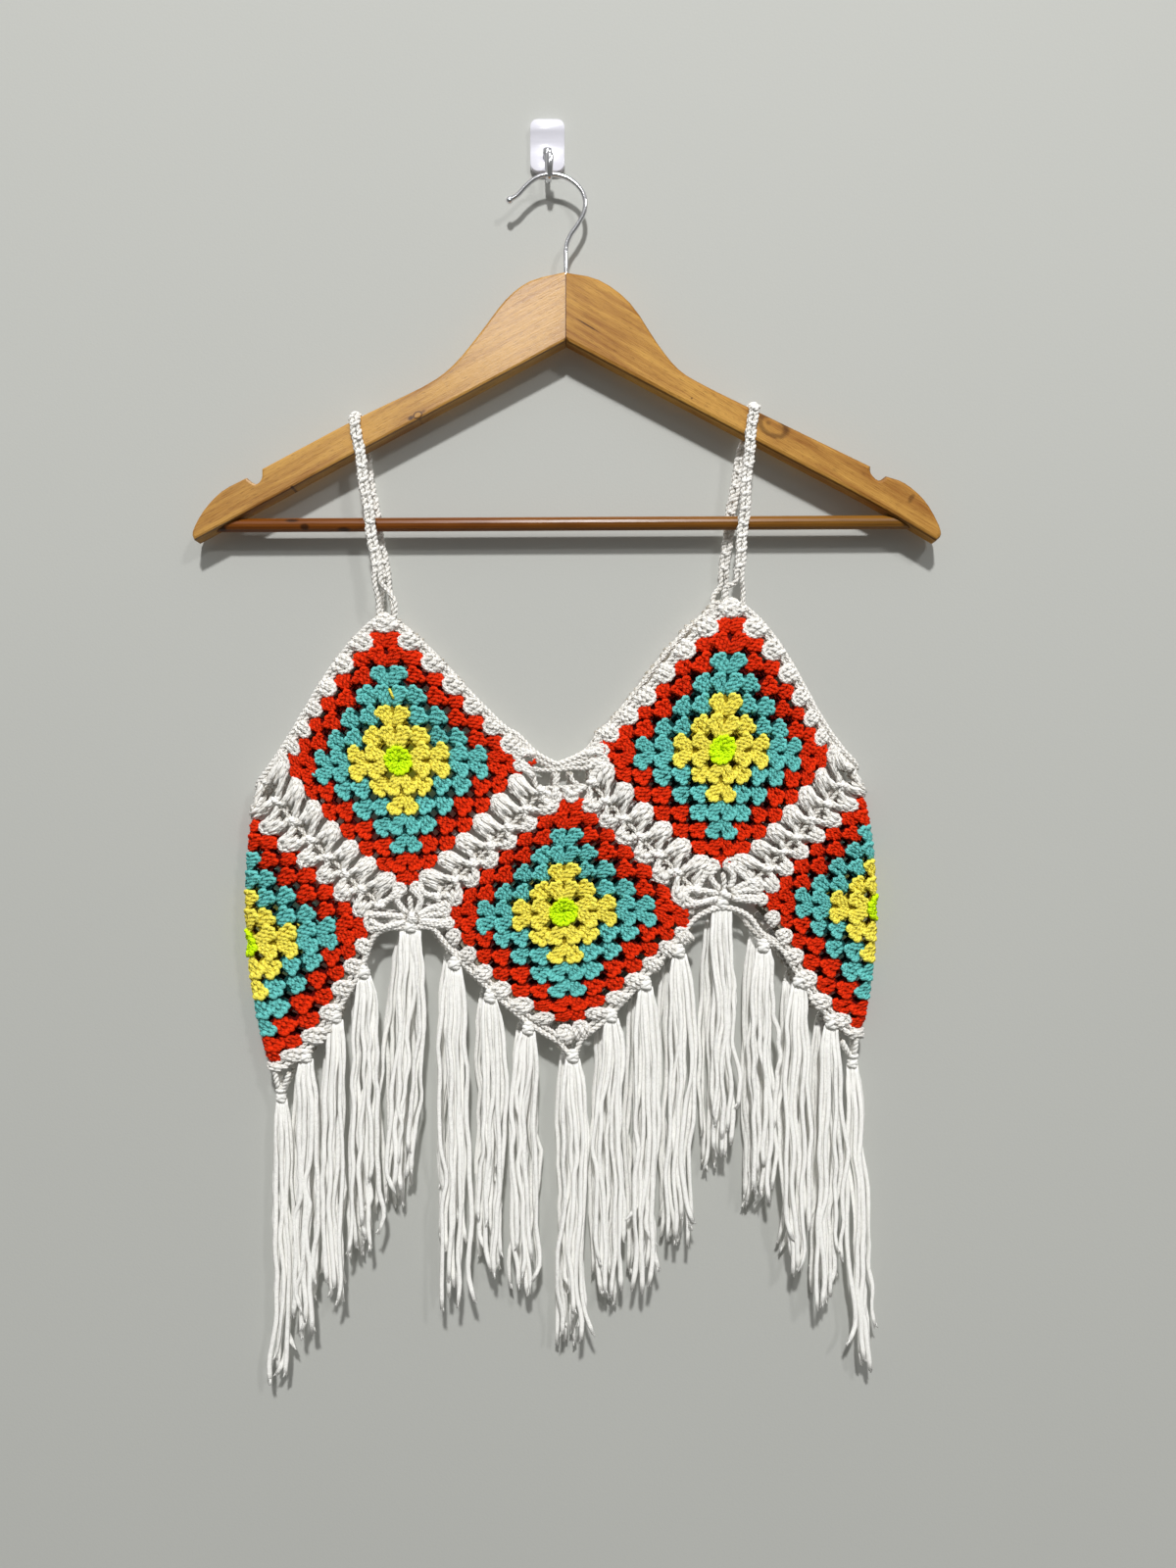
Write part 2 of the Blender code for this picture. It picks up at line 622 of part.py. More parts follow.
def hanger_arm(name, rows, way, look):
    """An arm cut from a board, its edges rounded, half a gap from the glue line, with the hook's groove."""
    points = arm_outline(rows)
    points[0].x = points[-1].x = HANGER_X + way * GAP / 2
    rings = [[(p.x, y, p.y) for p in points] for y in (HANGER_FRONT, HANGER_BACK)]
    arm = rings_solid(name, rings, look)
    # The rounding runs along the board's faces, and stops at the glue line.
    weights = arm.data.attributes.new("bevel_weight_edge", "FLOAT", "EDGE")
    for edge in arm.data.edges:
        a, b = (arm.data.vertices[k].co for k in edge.vertices)
        glued = abs(a.x - b.x) < 1e-6 and abs(a.x - points[0].x * MM) < 1e-6
        weights.data[edge.index].value = 1.0 if abs(a.y - b.y) < 1e-6 and not glued else 0.0
    rounding = arm.modifiers.new("Rounded edges", "BEVEL")
    rounding.width = HANGER_ROUNDING * MM
    rounding.segments = 2
    rounding.limit_method = "WEIGHT"
    groove = arm.modifiers.new("Groove for the hook", "BOOLEAN")
    groove.operation = "DIFFERENCE"
    groove.object = bpy.data.objects["hook_groove"]
    return arm


def hook_groove():
    """The cutter for the hole that the hook's stem goes down, half of it in each arm."""
    top = LEFT_ARM[0]["z"]
    bpy.ops.mesh.primitive_cylinder_add(
        vertices=12,
        radius=(HOOK_R + GAP) * MM,
        depth=(HOOK_STEM_DEPTH + 8) * MM,
        location=Vector((HANGER_X, TUBE_Y, top - (HOOK_STEM_DEPTH - 6) / 2)) * MM,
    )
    cutter = bpy.context.object
    cutter.name = "hook_groove"
    cutter.hide_render = True
    cutter.display_type = "WIRE"


def rod(name, route, side, sizes, look, sides=10):
    """A rod along a route at right angles to side, with a width along side and a thickness at each point."""
    route = [Vector(p) for p in route]
    rings = []
    for k, (point, (width, thick)) in enumerate(zip(route, sizes)):
        before, after = route[max(k - 1, 0)], route[min(k + 1, len(route) - 1)]
        across = Vector(side)
        normal = (after - before).cross(across).normalized()
        turns = [2 * math.pi * n / sides for n in range(sides)]
        rings.append([point + across * width / 2 * math.cos(t) + normal * thick / 2 * math.sin(t) for t in turns])
    return rings_solid(name, rings, look)


def hanger_hook(look):
    """The bent wire, with a small ball at its tip and its stem down between the arms."""
    route = smooth_route([(row["x"], TUBE_Y, row["z"]) for row in HOOK_ROUTE], 3)
    route += [Vector((HANGER_X, TUBE_Y, LEFT_ARM[0]["z"] - HOOK_STEM_DEPTH))]
    tip, inward = route[0], (route[1] - route[0]).normalized()
    ball_turns = [math.radians(t) for t in (-80, -50, -15, 20, 48)]
    ball = [tip + inward * HOOK_BALL_R * (1 + math.sin(t)) for t in ball_turns]
    rest = [p for p in route if (p - tip).length > HOOK_BALL_R * 2.2]
    radii = [HOOK_BALL_R * math.cos(t) for t in ball_turns] + [HOOK_R] * len(rest)
    return rod("hanger_hook", ball + rest, (0, 1, 0), [(2 * r, 2 * r) for r in radii], look)


def hanger_bar(look):
    """The round bar between the arms' feet, its ends cut to the slope of the arms' undersides."""
    left, right = BAR_ENDS["left"], BAR_ENDS["right"]
    rings = []
    for part, rise in ((0.0, left["rise"]), (0.05, None), (0.95, None), (1.0, right["rise"])):
        x = left["x"] + (right["x"] - left["x"]) * part
        z = left["z"] + (right["z"] - left["z"]) * part
        ring = []
        for k in range(BAR_SIDES):
            turn = 2 * math.pi * k / BAR_SIDES
            up = BAR_R * math.sin(turn)
            ring.append((x + (up / rise if rise else 0.0), TUBE_Y + BAR_R * math.cos(turn), z + up))
        rings.append(ring)
    return rings_solid("hanger_bar", rings, look)


def wall_pad(look):
    """The adhesive pad: a plate with rounded corners and a rounded front edge."""
    half_w, half_h, r = PAD_W / 2, PAD_H / 2, PAD_CORNER_R
    centres = [(half_w - r, half_h - r), (r - half_w, half_h - r), (r - half_w, r - half_h), (half_w - r, r - half_h)]
    rim = []
    for quarter, (x, z) in enumerate(centres):
        for k in range(5):
            turn = math.radians(90 * quarter + 22.5 * k)
            rim.append(Vector((x + r * math.cos(turn), z + r * math.sin(turn))))
    rings = []
    for deep, size in ((0.0, 1.0), (PAD_D - 1.2, 1.0), (PAD_D - 0.4, 0.965), (PAD_D, 0.90)):
        rings.append([(p.x * size, -deep, p.y * size) for p in rim])
    return rings_solid("wall_pad", rings, look)


def wall_peg(look):
    knots = [(row["y"], row["z"], row["x"]) for row in PEG_ROUTE]
    sizes = [(row["width"], row["thick"], 0.0) for row in PEG_ROUTE]
    route = [(x, y, z) for y, z, x in smooth_route(knots, 2)]
    widths = [(width, thick) for width, thick, _ in smooth_route(sizes, 2)]
    return rod("wall_peg", route, (1, 0, 0), widths, look)


def main():
    for old in list(bpy.data.objects):
        bpy.data.objects.remove(old)
    wood, bar_wood = material("wood", 0.35), material("bar_wood", 0.25)
    steel = material("steel", 0.15, 1.0)
    plastic = material("clear_plastic", 0.1)
    square_yarn, white_yarn = material("square_yarn", 0.85), material("white_yarn", 0.8)

    wall_pad(plastic)
    wall_peg(steel)
    hanger_hook(steel)
    hook_groove()
    hanger_arm("hanger_left", LEFT_ARM, -1, wood)
    hanger_arm("hanger_right", RIGHT_ARM, 1, wood)
    hanger_bar(bar_wood)

    for layer, back in (("front", False), ("back", True)):
        flat_square(f"square_{layer}_left", UPPER_LEFT, UPPER_LINES, square_yarn, back)
        flat_square(f"square_{layer}_right", UPPER_RIGHT, UPPER_LINES, square_yarn, back)
        flat_square(f"square_{layer}_centre", LOWER_CENTRE, LOWER_LINES, square_yarn, back)
    for side in ("left", "right"):
        side_square("square_side_" + side, side, square_yarn)
    make_edgings(white_yarn)
    make_tassels(white_yarn)
    for side, rows in (("left", LEFT_ARM), ("right", RIGHT_ARM)):
        top_edge = sorted(arm_outline(rows)[: 3 * ARM_STEPS + 13], key=lambda p: p.x)
        strap(side, top_edge, white_yarn)


main()
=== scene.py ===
"""Looks of a crochet top of eight granny squares with a fringed hem, on a wooden hanger and a wall hook.

Every stitch is yarn: a cluster is three posts, each of two plies wound round each other, with a loop over its
head. One square's clusters lie on a lattice, which the square's own edges bend into place on the flat tube of
cloth. Lengths are in millimetres, and Skein.mesh() turns them into metres. A place on a layer laid flat is
(x, z), and "out" is how far a point stands out of the layer's middle.
"""

import math
from functools import partial

import bpy
import numpy as np
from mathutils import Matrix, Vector


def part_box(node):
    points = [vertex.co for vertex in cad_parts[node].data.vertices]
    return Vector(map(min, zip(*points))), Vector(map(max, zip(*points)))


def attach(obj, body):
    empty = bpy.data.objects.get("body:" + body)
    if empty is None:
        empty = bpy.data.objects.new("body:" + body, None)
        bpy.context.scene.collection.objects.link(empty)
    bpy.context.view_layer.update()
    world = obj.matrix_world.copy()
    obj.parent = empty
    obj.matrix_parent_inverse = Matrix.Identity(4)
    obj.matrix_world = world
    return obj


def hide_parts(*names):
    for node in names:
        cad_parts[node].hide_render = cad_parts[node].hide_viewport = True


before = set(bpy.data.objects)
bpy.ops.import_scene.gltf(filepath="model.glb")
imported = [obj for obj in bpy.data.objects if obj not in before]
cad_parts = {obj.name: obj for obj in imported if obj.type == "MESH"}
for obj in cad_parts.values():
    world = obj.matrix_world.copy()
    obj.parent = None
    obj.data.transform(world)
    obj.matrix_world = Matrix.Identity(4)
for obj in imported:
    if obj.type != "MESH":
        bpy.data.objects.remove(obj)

bl_info = {
    "name": "Crochet top",
    "version": (1, 0, 0),
    "blender": (4, 5, 0),
    "location": "View3D > Sidebar > Crochet top",
    "description": "Builds a crochet top of granny squares on a hanger, stitch by stitch",
    "category": "Object",
}

MM = 0.001
SEEDS = {"edging": 41, "fringe": 97, "straps": 59, "web_front": 70, "web_back": 71}
FULL_TURN = 2 * math.pi
ANY_TURN = 6.28  # the end of the range from which a ply's first angle is drawn
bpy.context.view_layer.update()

# The flat tube of cloth, as the solids have it.
TUBE_Y = -12.0  # its middle plane
FOLD_R = 5.5  # radius of the cloth's middle round a side fold
SIDE_BOW = 10.0  # how far a side bows out between the arm and the hem
FOLDS = {
    "left": {"top": (-172.0, -393.0), "bottom": (-163.0, -556.0)},
    "right": {"top": (184.5, -380.5), "bottom": (185.5, -537.0)},
}
# Corners of the squares in front, as x and z, and how far to the side the same corner lies behind.
CORNERS = {
    "left_apex": ((-96.5, -287.5), 1.5),
    "neck": ((8.5, -378.0), -2.0),
    "right_apex": ((112.5, -280.0), -8.0),
    "left_flower": ((-79.5, -465.5), -4.0),
    "right_flower": ((105.0, -453.0), -4.0),
    "hem_tip": ((14.0, -540.5), -4.0),
}
# How far each outer edge bows at a third and at two thirds of its way.
EDGES = {
    ("left_arm", "left_apex"): (0.5, 4.5),
    ("left_apex", "neck"): (-0.5, -4.5),
    ("neck", "right_apex"): (-4.0, 1.5),
    ("right_apex", "right_arm"): (3.5, -2.0),
    ("right_hem", "right_flower"): (3.0, -5.0),
    ("right_flower", "hem_tip"): (-1.0, 2.0),
    ("hem_tip", "left_flower"): (4.0, 1.0),
    ("left_flower", "left_hem"): (-2.0, 7.0),
}

# A lattice unit is a sixteenth of a square's side, and as deep as one round of stitches.
UNIT = 125.0 / 16
ROUNDS = 8
SEAM_REACH = 8.0  # lattice units from the centre to a seam
FREE_REACH = 7.35  # and to an edge, where the last round is drawn in under the edging
HEM_DROP = 0.22  # and how much further out the last round's clusters lie along the hem
ROUND_LOOKS = ["lime", "yellow", "yellow", "teal", "teal", "orange", "orange", "white"]
LOOKS = ["lime", "yellow", "teal", "orange", "white"]

LATTICE_CORNERS = ((-1, -1), (1, -1), (1, 1), (-1, 1))
TIP_SHARE = 0.8  # the share of its corner's back shift that a tip behind is moved by
# Corners in the lattice's order, the sides that are edges and not seams, the places of the orange rounds' tips and
# how many lattice units out they are, and the place of the middle.
SQUARES = {
    "left": {
        "corners": ("left_arm", "left_apex", "neck", "left_flower"),
        "free": (1, 2),
        "tips": ((-154.4, -374.1), (-95.7, -293.3), (-16.1, -373.5), (-82.4, -445.6)),
        "tip_places": (6.8, 6.8, 6.4, 6.45),
        "centre": (-87.6, -372.9),
    },
    "right": {
        "corners": ("right_arm", "right_apex", "neck", "right_flower"),
        "free": (1, 2),
        "tips": ((168.2, -368.9), (109.5, -284.6), (32.2, -366.0), (104.2, -435.7)),
        "tip_places": (6.8, 6.8, 6.4, 6.45),
        "centre": (104.2, -366.5),
    },
    "centre": {
        "corners": ("neck", "right_flower", "hem_tip", "left_flower"),
        "free": (0, 1),
        "tips": ((15.3, -396.2), (83.9, -465.9), (14.7, -528.1), (-57.4, -464.8)),
        "tip_places": (6.4, 6.5, 6.8, 6.5),
        "centre": (10.1, -461.9),
    },
}
# Corner clusters of the last round that the flowers, the neck's web and the hem's tip take the place of, as
# (side, whether at the end of the side's way along).
BY_HAND = {
    "left": {(0, False), (0, True), (1, False), (3, True)},
    "right": {(0, False), (0, True), (1, False), (3, True)},
    "centre": {(2, False), (2, True), (3, False), (3, True), (0, False), (0, True), (1, False), (1, True)},
    "side": {(1, True), (2, False), (3, True), (0, False)},
}
# The squares that are folded round a side: the front tip's place, and the heights of the tips and of the middle
# on the fold.
SIDE_SQUARES = {
    "left": {"tip": (-106.5, -471.2), "top": -407.0, "bottom": -552.0, "centre": -480.6},
    "right": {"tip": (131.0, -456.0), "top": -394.0, "bottom": -532.0, "centre": -459.5},
}
SIDE_TIP_PLACES = (6.6, 6.5, 6.7, 6.5)


# Settings --------------------------------------


def linear(red, green, blue):
    """A display colour of 0 to 255 as the renderer's linear colour."""
    steps = [c / 255 for c in (red, green, blue)]
    return tuple(c / 12.92 if c <= 0.04045 else ((c + 0.055) / 1.055) ** 2.4 for c in steps)


def colour_of(name, description, *display):
    """A colour setting, with its default as a display colour."""
    return bpy.props.FloatVectorProperty(
        name=name, description=description, default=linear(*display), size=3, min=0.0, max=1.0, subtype="COLOR"
    )


def length_setting(name, description, millimetres):
    """A length setting, with its default in millimetres."""
    low, high = millimetres * MM / 2, millimetres * MM * 2
    return bpy.props.FloatProperty(
        name=name, description=description, default=millimetres * MM, min=low, max=high, precision=4, unit="LENGTH"
    )


def share_setting(name, description, default, high=1.0):
    """A setting that is a share of something."""
    return bpy.props.FloatProperty(
        name=name, description=description, default=default, min=0.0, max=high, subtype="FACTOR"
    )


def power_setting(name, description, watts):
    """The power of a lamp."""
    return bpy.props.FloatProperty(name=name, description=description, default=watts, min=0.0, unit="POWER")


class YarnSettings(bpy.types.PropertyGroup):
    """Colours and sizes of the yarn"""

    lime: colour_of("Lime", "Yarn of a square's first round", 216, 255, 16)
    yellow: colour_of("Yellow", "Yarn of the second and third rounds", 255, 240, 94)
    teal: colour_of("Teal", "Yarn of the fourth and fifth rounds", 112, 204, 198)
    orange: colour_of("Orange", "Yarn of the sixth and seventh rounds", 234, 50, 3)
    white: colour_of("White", "Yarn of the last round, the edgings and the straps", 253, 251, 246)
    fringe: colour_of("Fringe", "Ribbon yarn of the tassels", 250, 249, 244)
    post: length_setting("Post", "Radius of one ply of a post", 1.16)
    edging: length_setting("Edging", "Width of the outer cord of an edging", 3.9)
    ribbon: length_setting("Ribbon", "Half the width of a tassel's strand", 1.5)


class HangerSettings(bpy.types.PropertyGroup):
    """Finishes of the hanger and of the wall hook"""

    wood: colour_of("Wood", "Light wood of the two arms", 194, 146, 70)
    grain: colour_of("Grain", "Dark grain of the two arms", 134, 82, 30)
    bar: colour_of("Bar", "Stained wood at the bar's left end", 116, 62, 10)
    bar_end: colour_of("Bar end", "Wood at the bar's right end", 136, 92, 30)
    steel: colour_of("Steel", "Plated wire and peg", 226, 226, 230)
    plastic: colour_of("Plastic", "Moulded pad of the wall hook", 222, 221, 230)
    varnish: share_setting("Varnish", "Roughness of the varnish", 0.36)


class StageSettings(bpy.types.PropertyGroup):
    """Wall and light"""

    wall: colour_of("Wall", "Paint of the wall", 180, 181, 176)
    main_light: power_setting("Main light", "Power of the light from above", 168.0)
    side_light: power_setting("Side light", "Power of the light from the upper right", 30.0)
    room_light: share_setting("Room light", "Strength of the light from all round", 0.45, 2.0)


def settings(group):
    """One group of the scene's settings: yarn, hanger or stage."""
    return getattr(bpy.context.scene, "crochet_" + group)


# The cloth -------------------------------------


def fold_line(side, z):
    """x of a side's fold, at the middle of the cloth."""
    (top_x, top_z), (bottom_x, bottom_z) = FOLDS[side]["top"], FOLDS[side]["bottom"]
    down = (top_z - z) / (top_z - bottom_z)
    kept = np.clip(down, 0.0, 1.0)
    bow = 4 * SIDE_BOW * kept * (1 - kept)
    return top_x + (bottom_x - top_x) * down + (bow if side == "right" else -bow)


def fold_reach(side, z):
    """x of the same fold on the cloth laid flat, which is longer by the round of the fold."""
    longer = (math.pi / 2 - 1) * FOLD_R
    return fold_line(side, z) + (longer if side == "right" else -longer)


def mirrored(side, spots):
    """Places as far past a side's fold as the spots lie before it."""
    return np.stack([2 * fold_reach(side, spots[..., 1]) - spots[..., 0], spots[..., 1]], axis=-1)


def on_tube(x, z, out, back=False):
    """Points of the tube at places of a layer laid flat."""
    x, z, out = np.broadcast_arrays(np.asarray(x, float), z, out)
    layer = np.where(back, 1.0, -1.0) * np.ones_like(x)
    for side, past in (("left", x < fold_reach("left", z)), ("right", x > fold_reach("right", z))):
        x = np.where(past, 2 * fold_reach(side, z) - x, x)
        layer = np.where(past, -layer, layer)
    left = fold_line("left", z) + FOLD_R
    right = fold_line("right", z) - FOLD_R
    turn = np.where(x < left, (left - x) / FOLD_R, np.where(x > right, (x - right) / FOLD_R, 0.0))
    centre = np.clip(x, left, right)
    way = np.where(x < left, -1.0, 1.0)
    reach = FOLD_R + out
    return np.stack([centre + way * reach * np.sin(turn), TUBE_Y + layer * reach * np.cos(turn), z], axis=-1)


def corner(name, back=False):
    """A named corner of the squares on a layer laid flat."""
    side, _, where = name.partition("_")
    if where in ("arm", "hem"):
        z = FOLDS[side]["top" if where == "arm" else "bottom"][1]
        return np.array([fold_reach(side, z), z])
    return np.array(CORNERS[name][0]) + back_step(name, back)


def back_step(name, back):
    """How far a corner's neighbourhood is moved on the layer behind, as x and z."""
    return (CORNERS[name][1] if back else 0.0), 0.0


def edge(first, second, t, back=False):
    """Places on the line from one corner to another, bowed where it is an outer edge.

    The bow is the cubic through 0 at both corners and the edge's two bows at its thirds, which 13.5 scales.
    """
    t = np.asarray(t, float)[..., None]
    bows = (0.0, 0.0)
    start, end = corner(first, back), corner(second, back)
    if (first, second) in EDGES:
        bows = EDGES[first, second]
    elif (second, first) in EDGES:
        bows = EDGES[second, first]
        start, end, t = end, start, 1 - t
    along = end - start
    normal = np.array([-along[1], along[0]]) / np.hypot(*along)
    return start + along * t + normal * 13.5 * t * (t - 1) * (bows[0] * (t - 2 / 3) - bows[1] * (t - 1 / 3))


# A square's sides in order: its way along and its way out on the lattice.
SIDE_WAYS = [((1, 0), (0, 1)), ((0, -1), (1, 0)), ((-1, 0), (0, -1)), ((0, 1), (-1, 0))]


class Square:
    """Where the lattice of one granny square lies on a layer laid flat."""

    def __init__(self, name, edges, free, tips, tip_places, centre, back):
        self.name, self.edges, self.back, self.free = name, edges, back, free
        self.reach = [FREE_REACH if side in free else SEAM_REACH for side in range(4)]
        self.at_hem = name.startswith("side") or name.endswith("centre")
        self.by_hand = BY_HAND["side" if name.startswith("side") else name.partition("_")[2]]
        self.pulls = np.zeros((5, 2))
        places = [(a * place, b * place) for (a, b), place in zip(LATTICE_CORNERS, tip_places)]
        places = np.array([*places, (0, 0)])
        wanted = np.array([*tips, centre], float)
        misses = wanted - self.spot(places[:, 0], places[:, 1])
        self.pulls = np.linalg.solve(self.weights(places[:, 0], places[:, 1]), misses)
        here = [self.point(p, q, out) for p, q, out in ((0, 0, 0), (0.1, 0, 0), (0, 0.1, 0), (0, 0, 1))]
        turn = np.linalg.det([here[k] - here[0] for k in (1, 2, 3)])
        self.way = 1 if turn > 0 else -1

    @staticmethod
    def weights(p, q):
        """How much each corner's pull, and then the centre's, moves a place of the lattice."""
        p, q = np.clip(p / SEAM_REACH, -1, 1), np.clip(q / SEAM_REACH, -1, 1)
        shares = [((1 + a * p) / 2 * (1 + b * q) / 2) ** 3.0 for a, b in LATTICE_CORNERS]
        return np.stack([*shares, (1 - p**2) * (1 - q**2)], axis=-1)

    def spot(self, p, q):
        """The place of a lattice point on the layer laid flat."""
        p, q = np.asarray(p, float), np.asarray(q, float)
        u = 0.5 + 0.5 * p / np.where(p > 0, self.reach[1], self.reach[3])
        v = 0.5 + 0.5 * q / np.where(q > 0, self.reach[0], self.reach[2])
        low, high, near, far = self.edges
        u_, v_ = u[..., None], v[..., None]
        across = low(u) * (1 - v_) + high(u) * v_ + near(v) * (1 - u_) + far(v) * u_
        flat = (low(0) * (1 - u_) + low(1) * u_) * (1 - v_) + (high(0) * (1 - u_) + high(1) * u_) * v_
        return across - flat + self.weights(p, q) @ self.pulls

    def point(self, p, q, out):
        """The place of a lattice point on the tube, in x, y, z."""
        spot = self.spot(p, q)
        return on_tube(spot[..., 0], spot[..., 1], out, self.back)

    def ways(self, side):
        """A side's way along and way out, so that stitches always wind the same way round."""
        (sx, sy), (nx, ny) = SIDE_WAYS[side]
        return np.array([sx, sy]) * self.way, np.array([nx, ny])


def make_squares():
    """The eight squares by name."""
    made = {}
    for layer, back in (("front", False), ("back", True)):
        for key, row in SQUARES.items():
            a, b, c, d = row["corners"]
            edges = [partial(edge, *pair, back=back) for pair in ((a, b), (d, c), (a, d), (b, c))]
            shift = [back_step(n, back)[0] * TIP_SHARE if n in CORNERS else 0.0 for n in (a, b, c, d)]
            tips = [(x + s, z) for (x, z), s in zip(row["tips"], shift)]
            centre = (row["centre"][0] + sum(shift) / 4, row["centre"][1])
            name = f"{layer}_{key}"
            made[name] = Square(name, edges, row["free"], tips, row["tip_places"], centre, back)
    for side, row in SIDE_SQUARES.items():
        arm, flower, hem = side + "_arm", side + "_flower", side + "_hem"
        edges = [
            lambda t, a=arm, f=flower: edge(a, f, t),
            lambda t, f=flower, h=hem, s=side: mirrored(s, edge(f, h, t, True)),
            lambda t, a=arm, f=flower, s=side: mirrored(s, edge(a, f, t, True)),
            lambda t, f=flower, h=hem: edge(f, h, t),
        ]
        x, z = row["tip"]
        behind = mirrored(side, np.array([x + back_step(flower, True)[0], z]))
        tips = [(fold_reach(side, row["top"]), row["top"]), (x, z)]
        tips += [(fold_reach(side, row["bottom"]), row["bottom"]), tuple(behind)]
        centre = (fold_reach(side, row["centre"]), row["centre"])
        name = f"side_{side}"
        made[name] = Square(name, edges, (0, 1), tips, SIDE_TIP_PLACES, centre, False)
    return made


# Yarn ------------------------------------------


def smooth(knots, count):
    """count points, evenly spaced, on a smooth line through the knots."""
    knots = np.asarray(knots, float)
    if len(knots) == 2:
        return knots[0] + (knots[1] - knots[0]) * np.linspace(0, 1, count)[:, None]
    padded = np.vstack([2 * knots[0] - knots[1], knots, 2 * knots[-1] - knots[-2]])
    line = []
    for a, b, c, d in zip(padded, padded[1:], padded[2:], padded[3:]):
        t = np.linspace(0, 1, 12, endpoint=False)[:, None]
        line.append((2 * b + (c - a) * t + (2 * a - 5 * b + 4 * c - d) * t**2 + (3 * b - a - 3 * c + d) * t**3) / 2)
    return spaced(np.vstack([*line, knots[-1:]]), count)


def spaced(line, count):
    """count points, evenly spaced, on a row of points."""
    steps = np.r_[0, np.cumsum(np.linalg.norm(np.diff(line, axis=0), axis=1))]
    at = np.linspace(0, steps[-1], count)
    return np.stack([np.interp(at, steps, line[:, k]) for k in range(line.shape[1])], axis=1)


def length_of(line):
    """The length of a row of points."""
    return float(np.linalg.norm(np.diff(line, axis=0), axis=1).sum())


def carried(line, first=(0, 0, 1)):
    """At each point of a line, its way, and two directions square to it that don't twist along it."""
    ways = np.gradient(line, axis=0)
    ways /= np.maximum(np.linalg.norm(ways, axis=1), 1e-9)[:, None]
    side = np.empty_like(line)
    last = np.asarray(first, float)
    if abs(last @ ways[0]) > 0.9:
        last = np.array([1.0, 0, 0])
    for k, way in enumerate(ways):
        last = last - way * (last @ way)
        last = last / np.linalg.norm(last)
        side[k] = last
    return ways, side, np.cross(ways, side)


class Strand:
    """One closed strand of yarn: rings of points along a line.

    flat is its thickness as a share of its width, and spin turns its rings. Where it is wound round an axis, its
    attribute of painted shade, which darkens the yarn where strands press together, is 1 on the axis and falls to 0
    at the distance core.
    """

    def __init__(self, line, radius, sides=5, flat=1.0, spin=0.0, axis=None, core=1.5, first=(0, 0, 1)):
        line = np.asarray(line, float)
        radius = np.broadcast_to(np.asarray(radius, float), len(line))
        _, side, up = carried(line, first)
        turns = FULL_TURN * np.arange(sides) / sides
        spin = np.broadcast_to(np.asarray(spin, float), len(line))[:, None]
        across = np.cos(turns)[None] * np.cos(spin) - flat * np.sin(turns)[None] * np.sin(spin)
        rise = np.cos(turns)[None] * np.sin(spin) + flat * np.sin(turns)[None] * np.cos(spin)
        rings = line[:, None] + radius[:, None, None] * (
            across[..., None] * side[:, None] + rise[..., None] * up[:, None]
        )
        self.points = rings.reshape(-1, 3)
        count = len(line)
        here = (np.arange(count - 1)[:, None] * sides + np.arange(sides)).ravel()
        after = (np.arange(count - 1)[:, None] * sides + (np.arange(sides) + 1) % sides).ravel()
        self.quads = np.stack([here, after, after + sides, here + sides], axis=1)
        first_cap = np.arange(sides)[::-1]
        self.caps = np.stack([first_cap, np.arange(sides) + (count - 1) * sides])
        along = np.r_[0, np.cumsum(np.linalg.norm(np.diff(line, axis=0), axis=1))]
        u = np.tile(np.arange(sides) / sides, count - 1)
        v0, v1 = np.repeat(along[:-1], sides), np.repeat(along[1:], sides)
        step = 1 / sides
        corners = ((u, v0), (u + step, v0), (u + step, v1), (u, v1))
        self.quad_uv = np.stack([np.stack(place, 1) for place in corners], 1)
        self.cap_uv = np.zeros((2, sides, 2))
        self.cap_uv[1, :, 1] = along[-1]
        if axis is None:
            self.deep = np.zeros(len(self.points))
        else:
            gap = np.linalg.norm(rings - np.asarray(axis)[:, None], axis=2).ravel()
            self.deep = np.clip(1 - gap / core, 0, 1)


THIN_END = 0.55  # thickness of a ply at its very end, as a share of its own


def plies(line, spread, pitch, radius, turn=0.0, per_turn=5, sides=5, first=(0, 0, 1)):
    """The two plies of a cord, wound round its line and thinner at its ends."""
    length = length_of(line)
    count = max(4, round(length / pitch * per_turn) + 1)
    line = spaced(np.asarray(line, float), count)
    _, side, up = carried(line, first)
    at = np.linspace(0, 1, count)
    taper = np.minimum(1, np.minimum(at, 1 - at) * length / (1.2 * radius) * 0.6 + THIN_END)
    made = []
    for start in (0.0, 0.5):
        angle = turn + FULL_TURN * (start + at * length / pitch)
        path = line + spread * (np.cos(angle)[:, None] * side + np.sin(angle)[:, None] * up)
        made.append(Strand(path, radius * taper, sides, axis=line, core=(spread + radius) * 1.02))
    return made


def new_object(name, data):
    """A new object in the scene."""
    made = bpy.data.objects.new(name, data)
    bpy.context.scene.collection.objects.link(made)
    return made


def take(piece):
    """Select one piece alone and make it the active one."""
    bpy.ops.object.select_all(action="DESELECT")
    piece.select_set(True)
    bpy.context.view_layer.objects.active = piece


def set_numbers(mesh, label, values):
    """Give each point of a mesh a number, as the attribute label."""
    data = mesh.attributes.new(label, "FLOAT", "POINT").data
    data.foreach_set("value", values.astype(np.float32))


